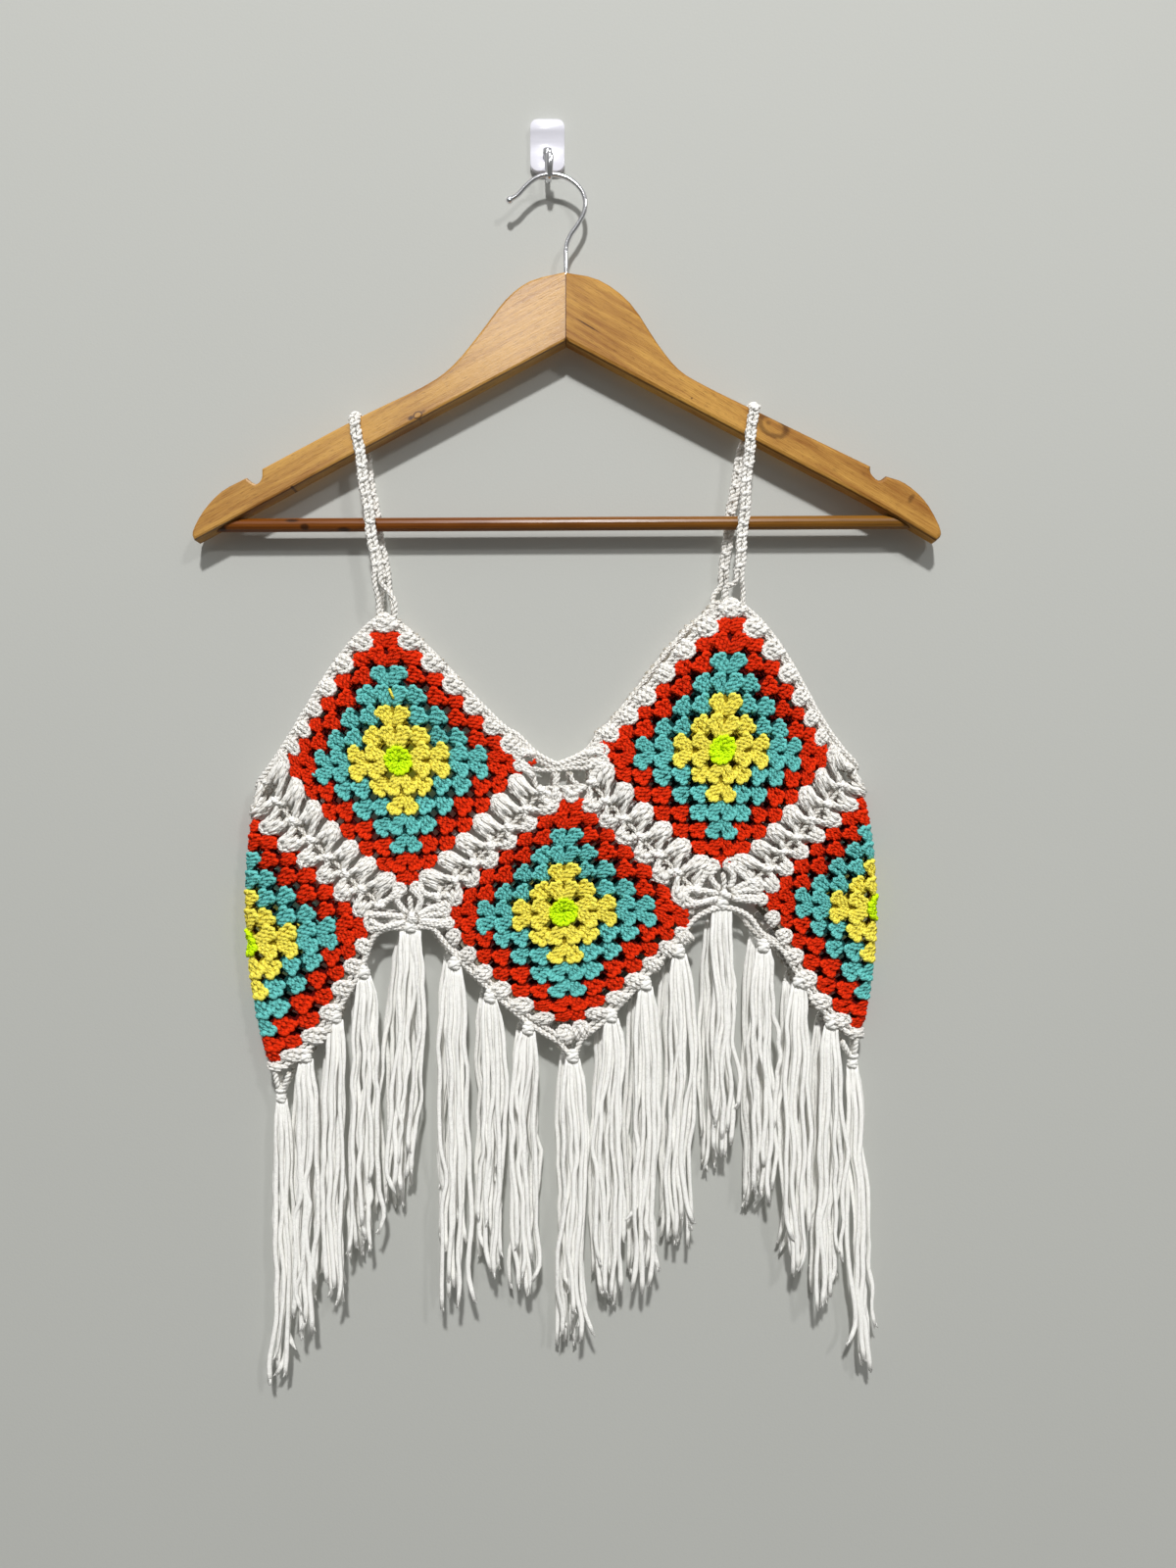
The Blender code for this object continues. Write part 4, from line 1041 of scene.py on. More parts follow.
def make_webs(layer, rows, rng, looks):
    """The flowers at the hem and the web at the neck, on one layer, with the knots and cords of its seams."""
    back = layer == "back"
    skein = Skein()
    inner = {key: from_knot(rows[f"{layer}_{key}", 0], knot) for key, knot in FLOWER_KNOTS.items()}
    for key, knot in FLOWER_KNOTS.items():
        centre = np.add(knot, back_step("hem_tip", back))
        pair = [from_knot(rows[f"{layer}_{key}", 3], centre)[1], inner[key][1]]
        seams = dict(zip(("left", "right"), pair if key == "left" else pair[::-1]))
        skein.lay(placed_petals(FLOWER_PETALS, centre, seams, rng), back)
        x, z = centre
        skein.lay(moved(knot_lump(rng, 1.45), (x, z + 0.3, 0.9)), back)
    shift = back_step("neck", back)
    seams = {key: row[-2] for key, row in inner.items()}
    skein.lay(placed_petals(NECK_PETALS, shift, seams, rng), back)
    for line in NECK_POSTS:
        skein.lay(flat_cord(np.add(line, shift), 3.3, 6.2, rng, 0.5), back)
    for line in NECK_CHAINS:
        skein.lay(flat_cord(np.add(line, shift), 3.1, 6.6, rng, 0.6), back)
    for key in FLOWER_KNOTS:
        for side in (0, 3):
            row = rows[f"{layer}_{key}", side]
            for k in range(1, len(row) - 1):
                if k > 1:
                    bow = (row[k - 1] + row[k]) / 2 + rng.normal(0, 0.5, 2)
                    skein.lay(flat_cord([row[k - 1], bow, row[k]], 3.0, 5.6, rng, -0.1), back, shade=0.1)
                skein.lay(moved(knot_lump(rng, 1.3), (*row[k], 0.7)), back)
    piece = skein.mesh("flowers_" + layer, looks)


# Edging, straps and fringe ---------------------

# The hem's flat-topped arches below the flowers, as x and z.
ARCHES = {
    "left": [(-61.5, -479.0), (-67.5, -471.6), (-80.0, -471.2), (-95.0, -472.2), (-102.5, -477.0), (-107.0, -488.5)],
    "right": [(126.5, -473.5), (121.5, -466.0), (111.1, -460.2), (100.2, -460.0), (88.5, -465.6), (81.5, -474.0)],
}
# Each tassel in front: x and z of its knot on the hem, x of its foot, and how low its strands reach in front and
# on the tassel behind.
TASSELS = [
    (-142.5, -548.5, -142.5, -715.0, -700.0),
    (-124.8, -525.2, -125.0, -694.0, -688.0),
    (-108.2, -499.1, -108.0, -664.0, -670.0),
    (-80.7, -471.7, -87.0, -629.0, -640.0),
    (-54.7, -493.8, -55.0, -697.0, -660.0),
    (-33.5, -513.0, -33.5, -677.0, -672.0),
    (-10.9, -532.2, -11.0, -689.0, -690.0),
    (15.5, -548.5, 16.5, -715.0, -724.0),
    (38.4, -524.6, 38.5, -690.0, -700.0),
    (58.9, -505.5, 59.0, -687.0, -680.0),
    (78.7, -486.3, 78.5, -660.0, -662.0),
    (104.2, -457.5, 104.0, -607.0, -618.0),
    (128.6, -483.4, 128.5, -633.0, -642.0),
    (149.6, -504.1, 149.5, -677.0, -668.0),
    (168.8, -528.7, 168.0, -697.0, -692.0),
]
UNDER_FLOWERS = (-80.7, 104.2)  # x of the front tassels that begin broader, under the flowers
TASSEL_BACK_STEP = -3.5  # and how far to the side the tassels behind lie
# The two rows' places in depth. The strands behind are plainer, because those in front hide them.
FRINGE_ROWS = {"front": {"y": -17.5}, "back": {"y": -6.5, "sides": 5, "rings": 22}}
# The tassels at the side corners: x and z of the knot, x of the foot, and how low the strands reach.
CORNER_TASSELS = {"left": (-158.5, -573.0, -160.0, -743.0), "right": (182.5, -552.5, 190.0, -736.0)}


def side_line(first, second, back, width, low=0.0, high=1.0):
    """Places beside an outer edge from one share of its way to another, width to the left of it."""
    t = np.linspace(low, high, 14)
    line = edge(first, second, t, back)
    ways = np.gradient(line, axis=0)
    ways /= np.linalg.norm(ways, axis=1)[:, None]
    return line + np.stack([-ways[:, 1], ways[:, 0]], axis=1) * width


# The chain loop at the front square's lowest corner, the inner cord above it, and the two clusters on it.
HEM_LOOP = [(19.8, -538.6), (18.4, -543.6), (14.9, -546.2), (10.9, -543.8), (8.2, -539.2)]
HEM_INNER_TIP = [(17.2, -535.6), (14.6, -536.4), (11.8, -536.0)]
TIP_CLUSTERS = [((9.8, -536.2), -26.0), ((21.4, -533.8), 24.0)]


def hem_line(back, width):
    """The hem on one layer, from the right fold to the left one. A width below 0 gives its inner cord."""
    shift = back_step("hem_tip", back)
    tip = HEM_LOOP if width > 0 else HEM_INNER_TIP
    parts = [
        side_line("right_hem", "right_flower", back, width, 0.0, 0.6),
        np.array(ARCHES["right"]) + shift,
        side_line("right_flower", "hem_tip", back, width, 0.38, 0.93),
        np.array(tip) + shift,
        side_line("hem_tip", "left_flower", back, width, 0.07, 0.62),
        np.array(ARCHES["left"]) + shift,
        side_line("left_flower", "left_hem", back, width, 0.38, 1.0),
    ]
    return np.vstack(parts)


NECK_BOW = [(-17.6, -356.6), (-12.0, -362.6), (-6.7, -367.8), (-0.1, -371.6), (5.4, -374.6), (9.0, -374.2)]
NECK_BOW += [(15.7, -371.4), (25.6, -366.4), (31.5, -358.6)]
TOP_OUTER, TOP_INNER = 1.9, -1.2  # how far out of an upper edge its two cords lie
HEM_OUTER, HEM_INNER = 1.5, -1.8  # and out of the hem


def top_line(names, back, width):
    """Places along an upper edge, which is rounder at the neck than the squares' own corner."""
    if "neck" not in names:
        return side_line(*names, back, width, 0.015, 0.985)
    bow = np.array(NECK_BOW) + (back_step("neck", back)[0], -(TOP_OUTER - width) * 0.9)
    first = side_line("left_apex", "neck", back, width, 0.015, 0.72)
    return np.vstack([first, bow, side_line("neck", "right_apex", back, width, 0.3, 0.985)])


def flat_cord(line, wide, pitch, rng, out):
    """A cord of two plies along places of a layer laid flat."""
    line = np.column_stack([line, np.full(len(line), out)])
    line = smooth(line, max(8, 2 * len(line)))
    return plies(line, wide * 0.21, pitch, wide * 0.3, turn=rng.uniform(0, ANY_TURN), per_turn=4.0)


def tip_clusters(rng):
    """The two clusters at the lowest corner of the front and of the back square, as (strands, back)."""
    made = []
    for back in (False, True):
        for (x, z), degrees in TIP_CLUSTERS:
            turn = math.radians(degrees)
            strands = edge_cluster(rng)
            for strand in strands:
                along, out, high = strand.points.T
                across = x - along * math.cos(turn) + out * math.sin(turn) + back_step("hem_tip", back)[0]
                strand.points = np.stack([across, z - along * math.sin(turn) - out * math.cos(turn), high], axis=-1)
            made.append((strands, back))
    return made


def make_edging(name, runs, rng, looks, extra=()):
    """An edging of an outer cord and a thinner inner one. Each run is (outer line, inner line, back).

    extra has the clusters that are part of it, as (strands, back).
    """
    skein = Skein()
    for strands, back in extra:
        skein.lay(strands, back)
    for outer, inner, back in runs:
        skein.lay(flat_cord(outer, settings("yarn").edging / MM, 6.4, rng, 0.4), back, tint=rng.normal(0, 0.5))
        skein.lay(flat_cord(inner, 3.3, 5.6, rng, 0.2), back, tint=rng.normal(0, 0.5), shade=0.04)
    piece = skein.mesh(name, looks)
    return piece


# A knot's wraps, each as four places across, up and out.
KNOT_WRAPS = [
    [(-3.1, 0.6, -0.6), (-1.6, 1.0, 1.2), (1.6, -0.1, 1.5), (3.2, -1.0, 0.0)],
    [(-3.2, -1.3, -0.4), (-1.7, -1.6, 1.3), (1.2, -2.3, 1.3), (3.0, -2.6, -0.2)],
    [(3.0, 0.9, -0.6), (1.4, 0.8, 1.7), (-1.2, -0.8, 1.9), (-3.0, -2.4, 0.3)],
    [(-1.9, 2.6, -0.4), (-0.7, 2.9, 1.2), (0.9, 2.8, 1.2), (2.0, 2.3, -0.4)],
]
WRAP_THICKNESS = 1.42 * np.array([0.6, 0.92, 1, 1.04, 1.04, 1, 0.92, 0.6])


def hem_knot(x, z, out, rng):
    """A tassel's knot over the hem: a low broad lump of slanted wraps, with the loop that holds it above."""
    made = []
    for wrap in KNOT_WRAPS:
        line = smooth(np.array(wrap) + rng.normal(0, 0.18, (4, 3)), len(WRAP_THICKNESS)) + (x, z, out)
        made.append(Strand(line, WRAP_THICKNESS, 7))
    return made


STRAND_LAYERS = (-1.4, 0.8, -0.3)  # how far behind or before each other a tassel's strands lie
STRAND_SHORTER = (0.0, 1.5, 4.0, 7.0, 11.0, 16.0, 22.0, 30.0, 40.0)  # and how much shorter each one is
STRAND_SHORTEST = 60.0  # no strand ends nearer to its knot
KINKED, BENT_UP = 0.3, 0.24  # the shares of strands with a kink and with a bent end


def fringe_strands(top, foot, rng, wide, y, begin, count=9, rings=31, sides=6):
    """The strands of one tassel in the object's own frame, from inside its knot to their cut ends.

    A strand is a soft flat ribbon of knitted yarn. It wanders over its neighbours, and its end is frayed. The
    tassel begins as broad as begin says and hangs as broad as wide.
    """
    made = []
    (x, z), (foot_x, foot_z) = top, foot
    order = rng.permutation(count)
    steps = 13
    drift = np.cumsum(rng.normal(0, 0.7, steps + 1))
    drift -= drift[0] + (drift[-1] - drift[0]) * np.linspace(0, 1, steps + 1)
    for k in range(count):
        share = (k + 0.5) / count - 0.5
        start = np.array([x + share * min(begin, 0.9 * wide), y + rng.normal(0, 0.3), z + 1.8])
        layer = STRAND_LAYERS[k % 3] + rng.normal(0, 0.2)
        short = STRAND_SHORTER[int(order[k])] * rng.uniform(0.7, 1.15)
        ends_at = min(foot_z + short, z - STRAND_SHORTEST)
        wander = np.cumsum(rng.normal(0, 0.8, steps + 1))
        wander -= wander[0] + (wander[-1] - wander[0]) * np.linspace(0, 1, steps + 1) * 0.6
        kink = rng.integers(6, steps + 1) if rng.uniform() < KINKED else None
        line = [start]
        for step in range(1, steps + 1):
            down = step / steps
            z_here = start[2] + (ends_at - start[2]) * down
            fan = 1.0 - 0.45 * math.exp((z_here - start[2]) / 16.0)
            middle = x + (foot_x - x) * down + drift[step]
            here_x = middle + share * wide * fan + wander[step] * min(1.0, down * 2.2)
            if kink is not None and step == kink:
                here_x += rng.normal(0, 1.8)
            here_y = y + layer * min(1.0, down * 8) + rng.normal(0, 0.2)
            line.append(np.array([here_x, here_y, z_here]))
        if rng.uniform() < BENT_UP:
            bend = rng.uniform(1.2, 5.5)
            line[-1] = line[-1] + (rng.choice((-1, 1)) * bend, -rng.uniform(0, 1.2), bend * rng.uniform(0.3, 0.9))
        path = smooth(line, rings)
        spin = smooth(np.stack([np.arange(8.0), rng.normal(0, 0.4, 8)], axis=1), rings)[:, 1]
        swell = 1 + 0.06 * np.sin(np.linspace(0, 90, rings) + rng.uniform(0, 6))
        radius = settings("yarn").ribbon / MM * swell * rng.uniform(0.88, 1.08)
        radius[:2] *= 0.7
        radius[-1] *= 0.86
        made.append((Strand(path, radius, sides, flat=0.46, spin=spin, first=(1, 0, 0)), rng.normal(0, 1)))
        end, way = path[-1], path[-1] - path[-2]
        way = way / np.linalg.norm(way)
        # A few frayed fibres past the cut end, tinted darker on the whole as painted shade.
        for _ in range(3):
            splay = np.array([rng.normal(0, 0.55), rng.normal(0, 0.3), 0])
            past = end + way * rng.uniform(0.8, 2.0) + splay * 1.5
            fibre = smooth([end - way * 1.8 + splay * 0.5, end + way * 0.4 + splay, past], 3)
            made.append((Strand(fibre, [0.6, 0.5, 0.3], 4, flat=0.6), rng.normal(-1.5, 1)))
    return made


def corner_tie(side, x, z, rng):
    """The cords that draw the hem's corner together to the knot of its tassel."""
    way = 1 if side == "left" else -1
    fold_x, fold_z = fold_line(side, FOLDS[side]["bottom"][1]), FOLDS[side]["bottom"][1]
    made = []
    for y in (-5.2, 5.2):
        for start_x, rise in ((fold_x + way * 1.6, 1.5), (fold_x + way * 10.5, -1.4)):
            line = [
                (start_x, TUBE_Y + y, fold_z + rise),
                ((start_x * 0.6 + x * 0.4), TUBE_Y + y * 0.75, fold_z * 0.6 + z * 0.4 - 0.6),
                (x + (start_x - x) * 0.14, TUBE_Y + y * 0.25, z + 3.2),
                (x, TUBE_Y, z - 1.0),
            ]
            made += plies(smooth(line, 30), 0.75, 5.6, 1.1, turn=rng.uniform(0, ANY_TURN), first=(1, 0, 0))
    wrap = ((-2.4, -2.2, 4.6), (0, -3.2, 4.0), (2.4, -2.2, 4.4), (2.2, 1.6, 4.2))
    wrap = [(x + across, TUBE_Y + out, z + up) for across, out, up in wrap]
    made.append(Strand(smooth(wrap, 10), 1.1, 6))
    return made


# A strap's two runs: y and z of three places on each, from the apex up, and then how it turns over the arm.
FRONT_RUN = ((-20.2, -262.0), (-20.4, -231.0), (-20.5, -197.0))
BACK_RUN = ((-3.9, -262.0), (-3.5, -231.0), (-3.5, -197.0))
OVER_ARM_R = 4.0
OVER_ARM_TURNS = (0.0, 0.5, 1.0, 1.4)
EYE = 8.3  # from one of a strap's eyes to the next
LEG_Y = {False: -17.8, True: -6.2}  # where a strap's legs meet the cloth, in front and behind


def strap_path(side):
    """A strap's middle line from the front apex over the hanger's arm to the back apex, in x, y, z."""
    row = STRAPS[side]
    halves = []
    for xs, run, way in ((row["front"], FRONT_RUN, 1), (row["back"], BACK_RUN, -1)):
        half = [(x, y, z) for x, (y, z) in zip(xs, run)]
        for turn in OVER_ARM_TURNS:
            y = run[-1][0] + way * OVER_ARM_R * (1 - math.cos(turn))
            half.append((row["top"], y, row["top_z"] - OVER_ARM_R * (1 - math.sin(turn))))
        halves.append(half)
    return np.array([*halves[0], *halves[1][::-1]])


# Each strap: x and z of its top on the arm, x of each run at its three places, and where its two legs end.
STRAPS = {
    "left": {
        "top": -113.0,
        "top_z": -168.0,
        "front": (-99.6, -104.2, -109.3),
        "back": (-97.5, -103.0, -108.6),
        "feet": ((-99.6, -286.2), (-90.0, -287.0)),
        "back_feet": ((-100.0, -288.0), (-93.0, -288.0)),
    },
    "right": {
        "top": 122.5,
        "top_z": -162.0,
        "front": (113.7, 116.5, 119.0),
        "back": (106.5, 110.0, 115.5),
        "feet": ((105.6, -279.8), (116.4, -279.2)),
        "back_feet": ((99.8, -283.0), (108.0, -281.5)),
    },
}


def make_strap(side, rng, looks):
    """Two chains side by side, which open into an eye and close again all along, with two legs at each end."""
    skein = Skein()
    row = STRAPS[side]
    path = smooth(strap_path(side), 150)
    length = length_of(path)
    ways, across, up = carried(path, (1, 0, 0))
    at = np.linspace(0, length, len(path))
    gap = 1.58 + 0.34 * np.cos(FULL_TURN * at / EYE)
    shift = 0.35 * np.sin(FULL_TURN * at / 31.0)
    for way in (-1, 1):
        line = path + across * (way * gap + shift)[:, None]
        line = line + up * (0.25 * way * np.sin(FULL_TURN * at / EYE))[:, None]
        for strand in plies(line, 0.78, 6.2, 1.22, turn=rng.uniform(0, ANY_TURN), first=(1, 0, 0)):
            skein.add(strand, tint=rng.normal(0, 0.5))
    for place in np.arange(EYE / 2, length - 2, EYE):
        k = int(np.searchsorted(at, place))
        for lean in (-1, 1):
            middle = path[k] + up[k] * 0.7 * lean
            reach = across[k] * 2.4 + ways[k] * 1.1 * rng.choice((-1, 1))
            line = smooth([middle - reach, middle + up[k] * 0.9 * lean, middle + reach], 6)
            skein.add(Strand(line, 1.15 * np.array([0.6, 1, 1, 1, 1, 0.6]), 6), tint=rng.normal(0, 0.5))
    for back, feet, start in ((False, row["feet"], path[0]), (True, row["back_feet"], path[-1])):
        y = LEG_Y[back]
        for (x, z), step in zip(feet, (-1.7, 1.7)):
            line = [start + (step, 0, 4), start + (step * 1.15, 0, -5)]
            line += [(x, y + (0.8 if back else -0.8), z + 9), (x, y, z - 1.5)]
            for strand in plies(smooth(line, 30), 0.72, 6.0, 1.05, turn=rng.uniform(0, ANY_TURN), first=(1, 0, 0)):
                skein.add(strand, tint=rng.normal(0, 0.5))
    piece = skein.mesh("strap_chain_" + side, looks)
    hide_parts("strap_" + side)


# Materials -------------------------------------


class Value:
    """A number socket that takes part in Python expressions, which add Math nodes."""

    def __init__(self, look, socket):
        self.look, self.socket = look, socket

    def math(self, operation, *others):
        values = {k + 1: other for k, other in enumerate(others)}
        return self.look.node("ShaderNodeMath", {"operation": operation}, {0: self, **values})

    def __add__(self, other):
        return self.math("ADD", other)

    __radd__ = __add__

    def __sub__(self, other):
        return self.math("SUBTRACT", other)

    def __rsub__(self, other):
        return self.look.node("ShaderNodeMath", {"operation": "SUBTRACT"}, {0: other, 1: self})

    def __mul__(self, other):
        return self.math("MULTIPLY", other)

    __rmul__ = __mul__

    def __truediv__(self, other):
        return self.math("DIVIDE", other)

    def __pow__(self, other):
        return self.math("POWER", other)

    def sin(self):
        return self.math("SINE")

    def clamped(self):
        return self.look.node("ShaderNodeClamp", {}, {"Value": self})


class Look:
    """A material and the one way its nodes are added."""

    def __init__(self, name):
        self.material = bpy.data.materials.new(name)
        self.material.use_nodes = True
        self.tree = self.material.node_tree
        self.shader = self.tree.nodes["Principled BSDF"]

    def node(self, kind, settings, sockets, output=0):
        """Add a node with its settings, then its sockets' values and links. Returns the output asked for."""
        made = self.tree.nodes.new(kind)
        for name, value in settings.items():
            setattr(made, name, value)
        self.join(made, sockets)
        return Value(self, made.outputs[output])

    def join(self, node, sockets):
        for name, value in sockets.items():
            socket = node.inputs[name]
            if isinstance(value, Value):
                self.tree.links.new(value.socket, socket)
            elif isinstance(value, tuple) and len(value) == 3 and socket.type == "RGBA":
                socket.default_value = (*value, 1.0)
            else:
                socket.default_value = value

    def mix(self, factor, first, second, blend="MIX"):
        settings = {"data_type": "RGBA", "blend_type": blend}
        return self.node("ShaderNodeMix", settings, {0: factor, 6: first, 7: second}, output=2)

    def noise(self, vector, scale, detail=3.0, rough=0.55):
        values = {"Vector": vector, "Scale": scale, "Detail": detail, "Roughness": rough}
        return self.node("ShaderNodeTexNoise", {}, values)

    def places(self):
        """Object coordinates."""
        return self.node("ShaderNodeTexCoord", {}, {}, output=3)

    def mapped(self, vector, scale=(1, 1, 1), turn=(0, 0, 0)):
        """A vector scaled and then turned."""
        return self.node("ShaderNodeMapping", {}, {"Vector": vector, "Rotation": turn, "Scale": scale})

    def split(self, vector):
        """The three numbers of a vector."""
        parts = self.tree.nodes.new("ShaderNodeSeparateXYZ")
        self.join(parts, {0: vector})
        return [Value(self, output) for output in parts.outputs]

    def spot(self, vector, centre, radii):
        """1 at a centre, falling to 0 at the radii round it, in metres."""
        moved = self.node("ShaderNodeVectorMath", {"operation": "SUBTRACT"}, {0: vector, 1: centre})
        moved = self.node("ShaderNodeVectorMath", {"operation": "DIVIDE"}, {0: moved, 1: radii})
        return (1 - self.node("ShaderNodeVectorMath", {"operation": "LENGTH"}, {0: moved}, output=1)).clamped()

    def attribute(self, name):
        return self.node("ShaderNodeAttribute", {"attribute_name": name}, {}, output=2)

    def uv(self):
        """The two numbers of the yarn's own map: round the strand and along it in millimetres."""
        return self.split(self.node("ShaderNodeTexCoord", {}, {}, output=2))[:2]

    def bump(self, height, distance, strength):
        return self.node("ShaderNodeBump", {}, {"Height": height, "Distance": distance, "Strength": strength})

    def finish(self, **sockets):
        self.join(self.shader, {name.replace("_", " "): value for name, value in sockets.items()})
        return self.material


def shaded(look, colour, light):
    """A colour made lighter or darker by a number round 1."""
    grey = look.node("ShaderNodeCombineColor", {}, {0: light, 1: light, 2: light})
    return look.mix(1.0, colour, grey, "MULTIPLY")


# The painted shade colour of each yarn, where its strands press together and in the hollows of its pit noise, as a
# share of its own.
PAINTED_SHADE_SHARES = {
    "lime": (0.66, 0.7, 0.3),
    "yellow": (0.46, 0.40, 0.14),
    "teal": (0.05, 0.13, 0.13),
    "orange": (0.16, 0.04, 0.1),
    "white": (0.42, 0.38, 0.31),
    "fringe": (0.62, 0.58, 0.52),
}
# The twist's turns and pitch, the scales of blotches and fibres, how much the painted shade in the pit noise's hollows,
# the painted light and shade of the twist, tint, blotches and fibres change the colour, and how high the pit noise,
# twist and fibres stand.
COTTON = ((3.0, 1.7), (60.0, 2400.0), (0.34, 0.1, 0.04, 0.2, 0.22), (2.4, 0.85, 0.5))
RIBBON = ((4.0, 1.3), (380.0, 1300.0), (0.12, 0.012, 0.03, 0.42, 0.5), (1.5, 0.2, 1.6))


def yarn_look(name):
    """Plied cotton yarn with short grains along each ply, and painted shade in its hollows, its grooves and where
    strands press together.
    """
    look = Look(name)
    colour = tuple(getattr(settings("yarn"), name))
    painted_shade_colour = tuple(c * share for c, share in zip(colour, PAINTED_SHADE_SHARES[name]))
    (turns, pitch), scales, shares, heights = RIBBON if name == "fringe" else COTTON
    round_it, along = look.uv()
    deep, tint = look.attribute("deep"), look.attribute("tint")
    place = look.places()
    blotch = look.noise(place, scales[0], 2.0)
    pit = look.noise(place, 620.0, 1.5, 0.6)
    fibre = look.noise(place, scales[1], 2.0, 0.7)
    ply = ((round_it * turns + along / pitch) * FULL_TURN).sin()
    # Painted shade in the low hollows of the pit noise.
    pit_shade = ((0.47 - pit) * 6.0).clamped()
    # Painted shade: the colour turns towards the yarn's painted shade colour where strands press together and in the
    # hollows of the pit noise.
    shadow = ((deep * 1.5) ** 1.2 + pit_shade * shares[0]).clamped()
    # The twist lightens the plies' crests and darkens the grooves between them: painted light and shade.
    twist = ply * shares[1]
    light = tint * shares[2] + (blotch - 0.5) * shares[3] + (fibre - 0.5) * shares[4] + twist + 1.0
    base = shaded(look, look.mix(shadow, colour, painted_shade_colour), light.clamped())
    normal = look.bump(pit * heights[0] + ply * heights[1] + fibre * heights[2], 0.00022, 0.8)
    white = name in ("white", "fringe")
    return look.finish(
        Base_Color=base,
        Roughness=(0.8 - ply * 0.06),
        Normal=normal,
        Sheen_Weight=0.12 if white else 0.0,
        Sheen_Roughness=0.45,
        Specular_IOR_Level=0.3 if white else 0.13,
    )


# Marks in the wood of each arm: middle in millimetres, half length along the grain, half width, and how dark.
WOOD_MARKS = {
    "left": [((-80.4, -169.6), 2.4, 1.5, 0.85), ((-73.0, -165.6), 1.6, 0.8, 0.5), ((-150.9, -210.3), 1.2, 0.8, 0.9)],
    "right": [
        ((24.0, -114.6), 9.5, 0.55, 0.85),
        ((131.5, -172.6), 2.0, 1.5, 0.6),
        ((141.5, -174.5), 5.0, 4.2, 0.45),
        ((216.0, -217.3), 2.0, 3.6, 0.5),
        ((86.0, -158.0), 0.8, 0.7, 0.7),
    ],
}
# Each arm: its grain's turn in degrees, its knot's middle, half length and half width in millimetres, how light the
# wood is, how much the knot's heart and line show, its gloss, and how much rougher than the varnish it is.
ARMS = {
    "left": (29.0, ((-76.2, -167.9), 2.5, 1.8), 0.62, (0.9, 0.8), 0.4, 0.0),
    "right": (-31.3, ((134.0, -174.4), 8.6, 5.2), 0.5, (0.25, 0.55), 0.1, 0.1),
}
ARM_FRONT = 0.0172  # how far out the arms' front edges stand, in metres
MITRE = 0.0114  # x where the arms meet, in metres


def turned(place, turn):
    """A place (x, z) in millimetres as the material has it after its turn about y, in metres."""
    x, z = place
    return ((x * math.cos(turn) + z * math.sin(turn)) * MM, 0.0, (-x * math.sin(turn) + z * math.cos(turn)) * MM)


def wood_look(side):
    """Varnished golden wood, its grain along the arm, with a knot, a few marks, and painted shade darkening its rounded
    front edges.
    """
    look, given = Look("wood_" + side), settings("hanger")
    degrees, (centre, long, wide), lightness, (heart_share, line_share), gloss, rougher = ARMS[side]
    turn = math.radians(degrees)
    here = look.places()
    grain = look.mapped(here, turn=(0, turn, 0))
    ring = look.spot(grain, turned(centre, turn), (long * 3 * MM, 1.0, wide * 3 * MM))
    wobble = look.noise(look.mapped(grain, (7, 30, 26)), 1.0, 2.0)
    bands = (look.split(grain)[2] * 1500.0 + wobble * 14.0 + ring * 9.0).sin()
    streak = look.noise(look.mapped(grain, (10, 130, 230)), 1.0, 4.0, 0.62)
    fine = look.noise(look.mapped(grain, (55, 900, 1500)), 1.0, 3.0, 0.6)
    pore = look.noise(look.mapped(grain, (190, 2300, 2700)), 1.0, 1.0)
    cloud = look.noise(look.mapped(grain, (16, 40, 34)), 1.0, 2.0)
    tone = (streak - 0.5) * 1.6 + (fine - 0.5) * 0.9 + (cloud - 0.5) * 1.9 + bands * 0.06 + lightness
    light_wood, dark_wood = tuple(given.wood), tuple(given.grain)
    base = look.mix(tone.clamped(), dark_wood, light_wood)
    burnt = tuple(c * share for c, share in zip(dark_wood, (0.16, 0.1, 0.08)))
    base = look.mix(((0.42 - pore) * 8.0).clamped() * 0.5, base, tuple(c * 0.4 for c in dark_wood))
    rough_edge = look.noise(here, 420.0, 2.0)
    for middle, half, width, dark in WOOD_MARKS[side]:
        mark = look.spot(grain, turned(middle, turn), (half * MM, 1.0, width * MM))
        base = look.mix((mark * 2.2 + (rough_edge - 0.55) * mark * 5.0).clamped() * dark, base, burnt)
    knot = (ring * 3.0 - 2.0).clamped()
    heart = look.mix(0.35, light_wood, dark_wood)
    base = look.mix((knot * 5.0).clamped() * heart_share, base, heart)
    line = (1 - ((ring * 3.0 - 2.0 - (rough_edge - 0.5) * 0.3) / 0.3) ** 2.0).clamped()
    base = look.mix(line * line_share, base, burnt)
    x, y, _ = look.split(here)
    # Painted shade: a darker band along the rounded front edges of the arms.
    edge_shade = (1 - ((y + ARM_FRONT) / 0.0011) ** 2.0).clamped()
    base = look.mix(edge_shade * (0.62 + (fine - 0.5) * 0.8), base, tuple(c * 0.3 for c in dark_wood))
    joint = (1 - ((x - MITRE + (fine - 0.5) * 0.0006) / 0.00045) ** 2.0).clamped()
    base = look.mix(joint * 0.7, base, tuple(c * 0.35 for c in dark_wood))
    normal = look.bump(streak * 0.5 + fine * 0.8 + pore * 0.5, 0.0004, 0.55)
    rough = (fine - 0.5) * 0.3 + given.varnish + rougher
    look.finish(Base_Color=base, Roughness=rough, Normal=normal)
    return look.finish(Specular_IOR_Level=gloss, Coat_Weight=gloss * 0.55, Coat_Roughness=0.2)


# Dark marks on the bar: x, z, half length and half width, in millimetres.
BAR_MARKS = [
    (-151.5, -229.6, 5.0, 1.4),
    (-143.9, -233.4, 3.2, 2.4),
    (-120.7, -234.8, 5.0, 1.6),
    (-193.0, -234.6, 3.0, 2.0),
]


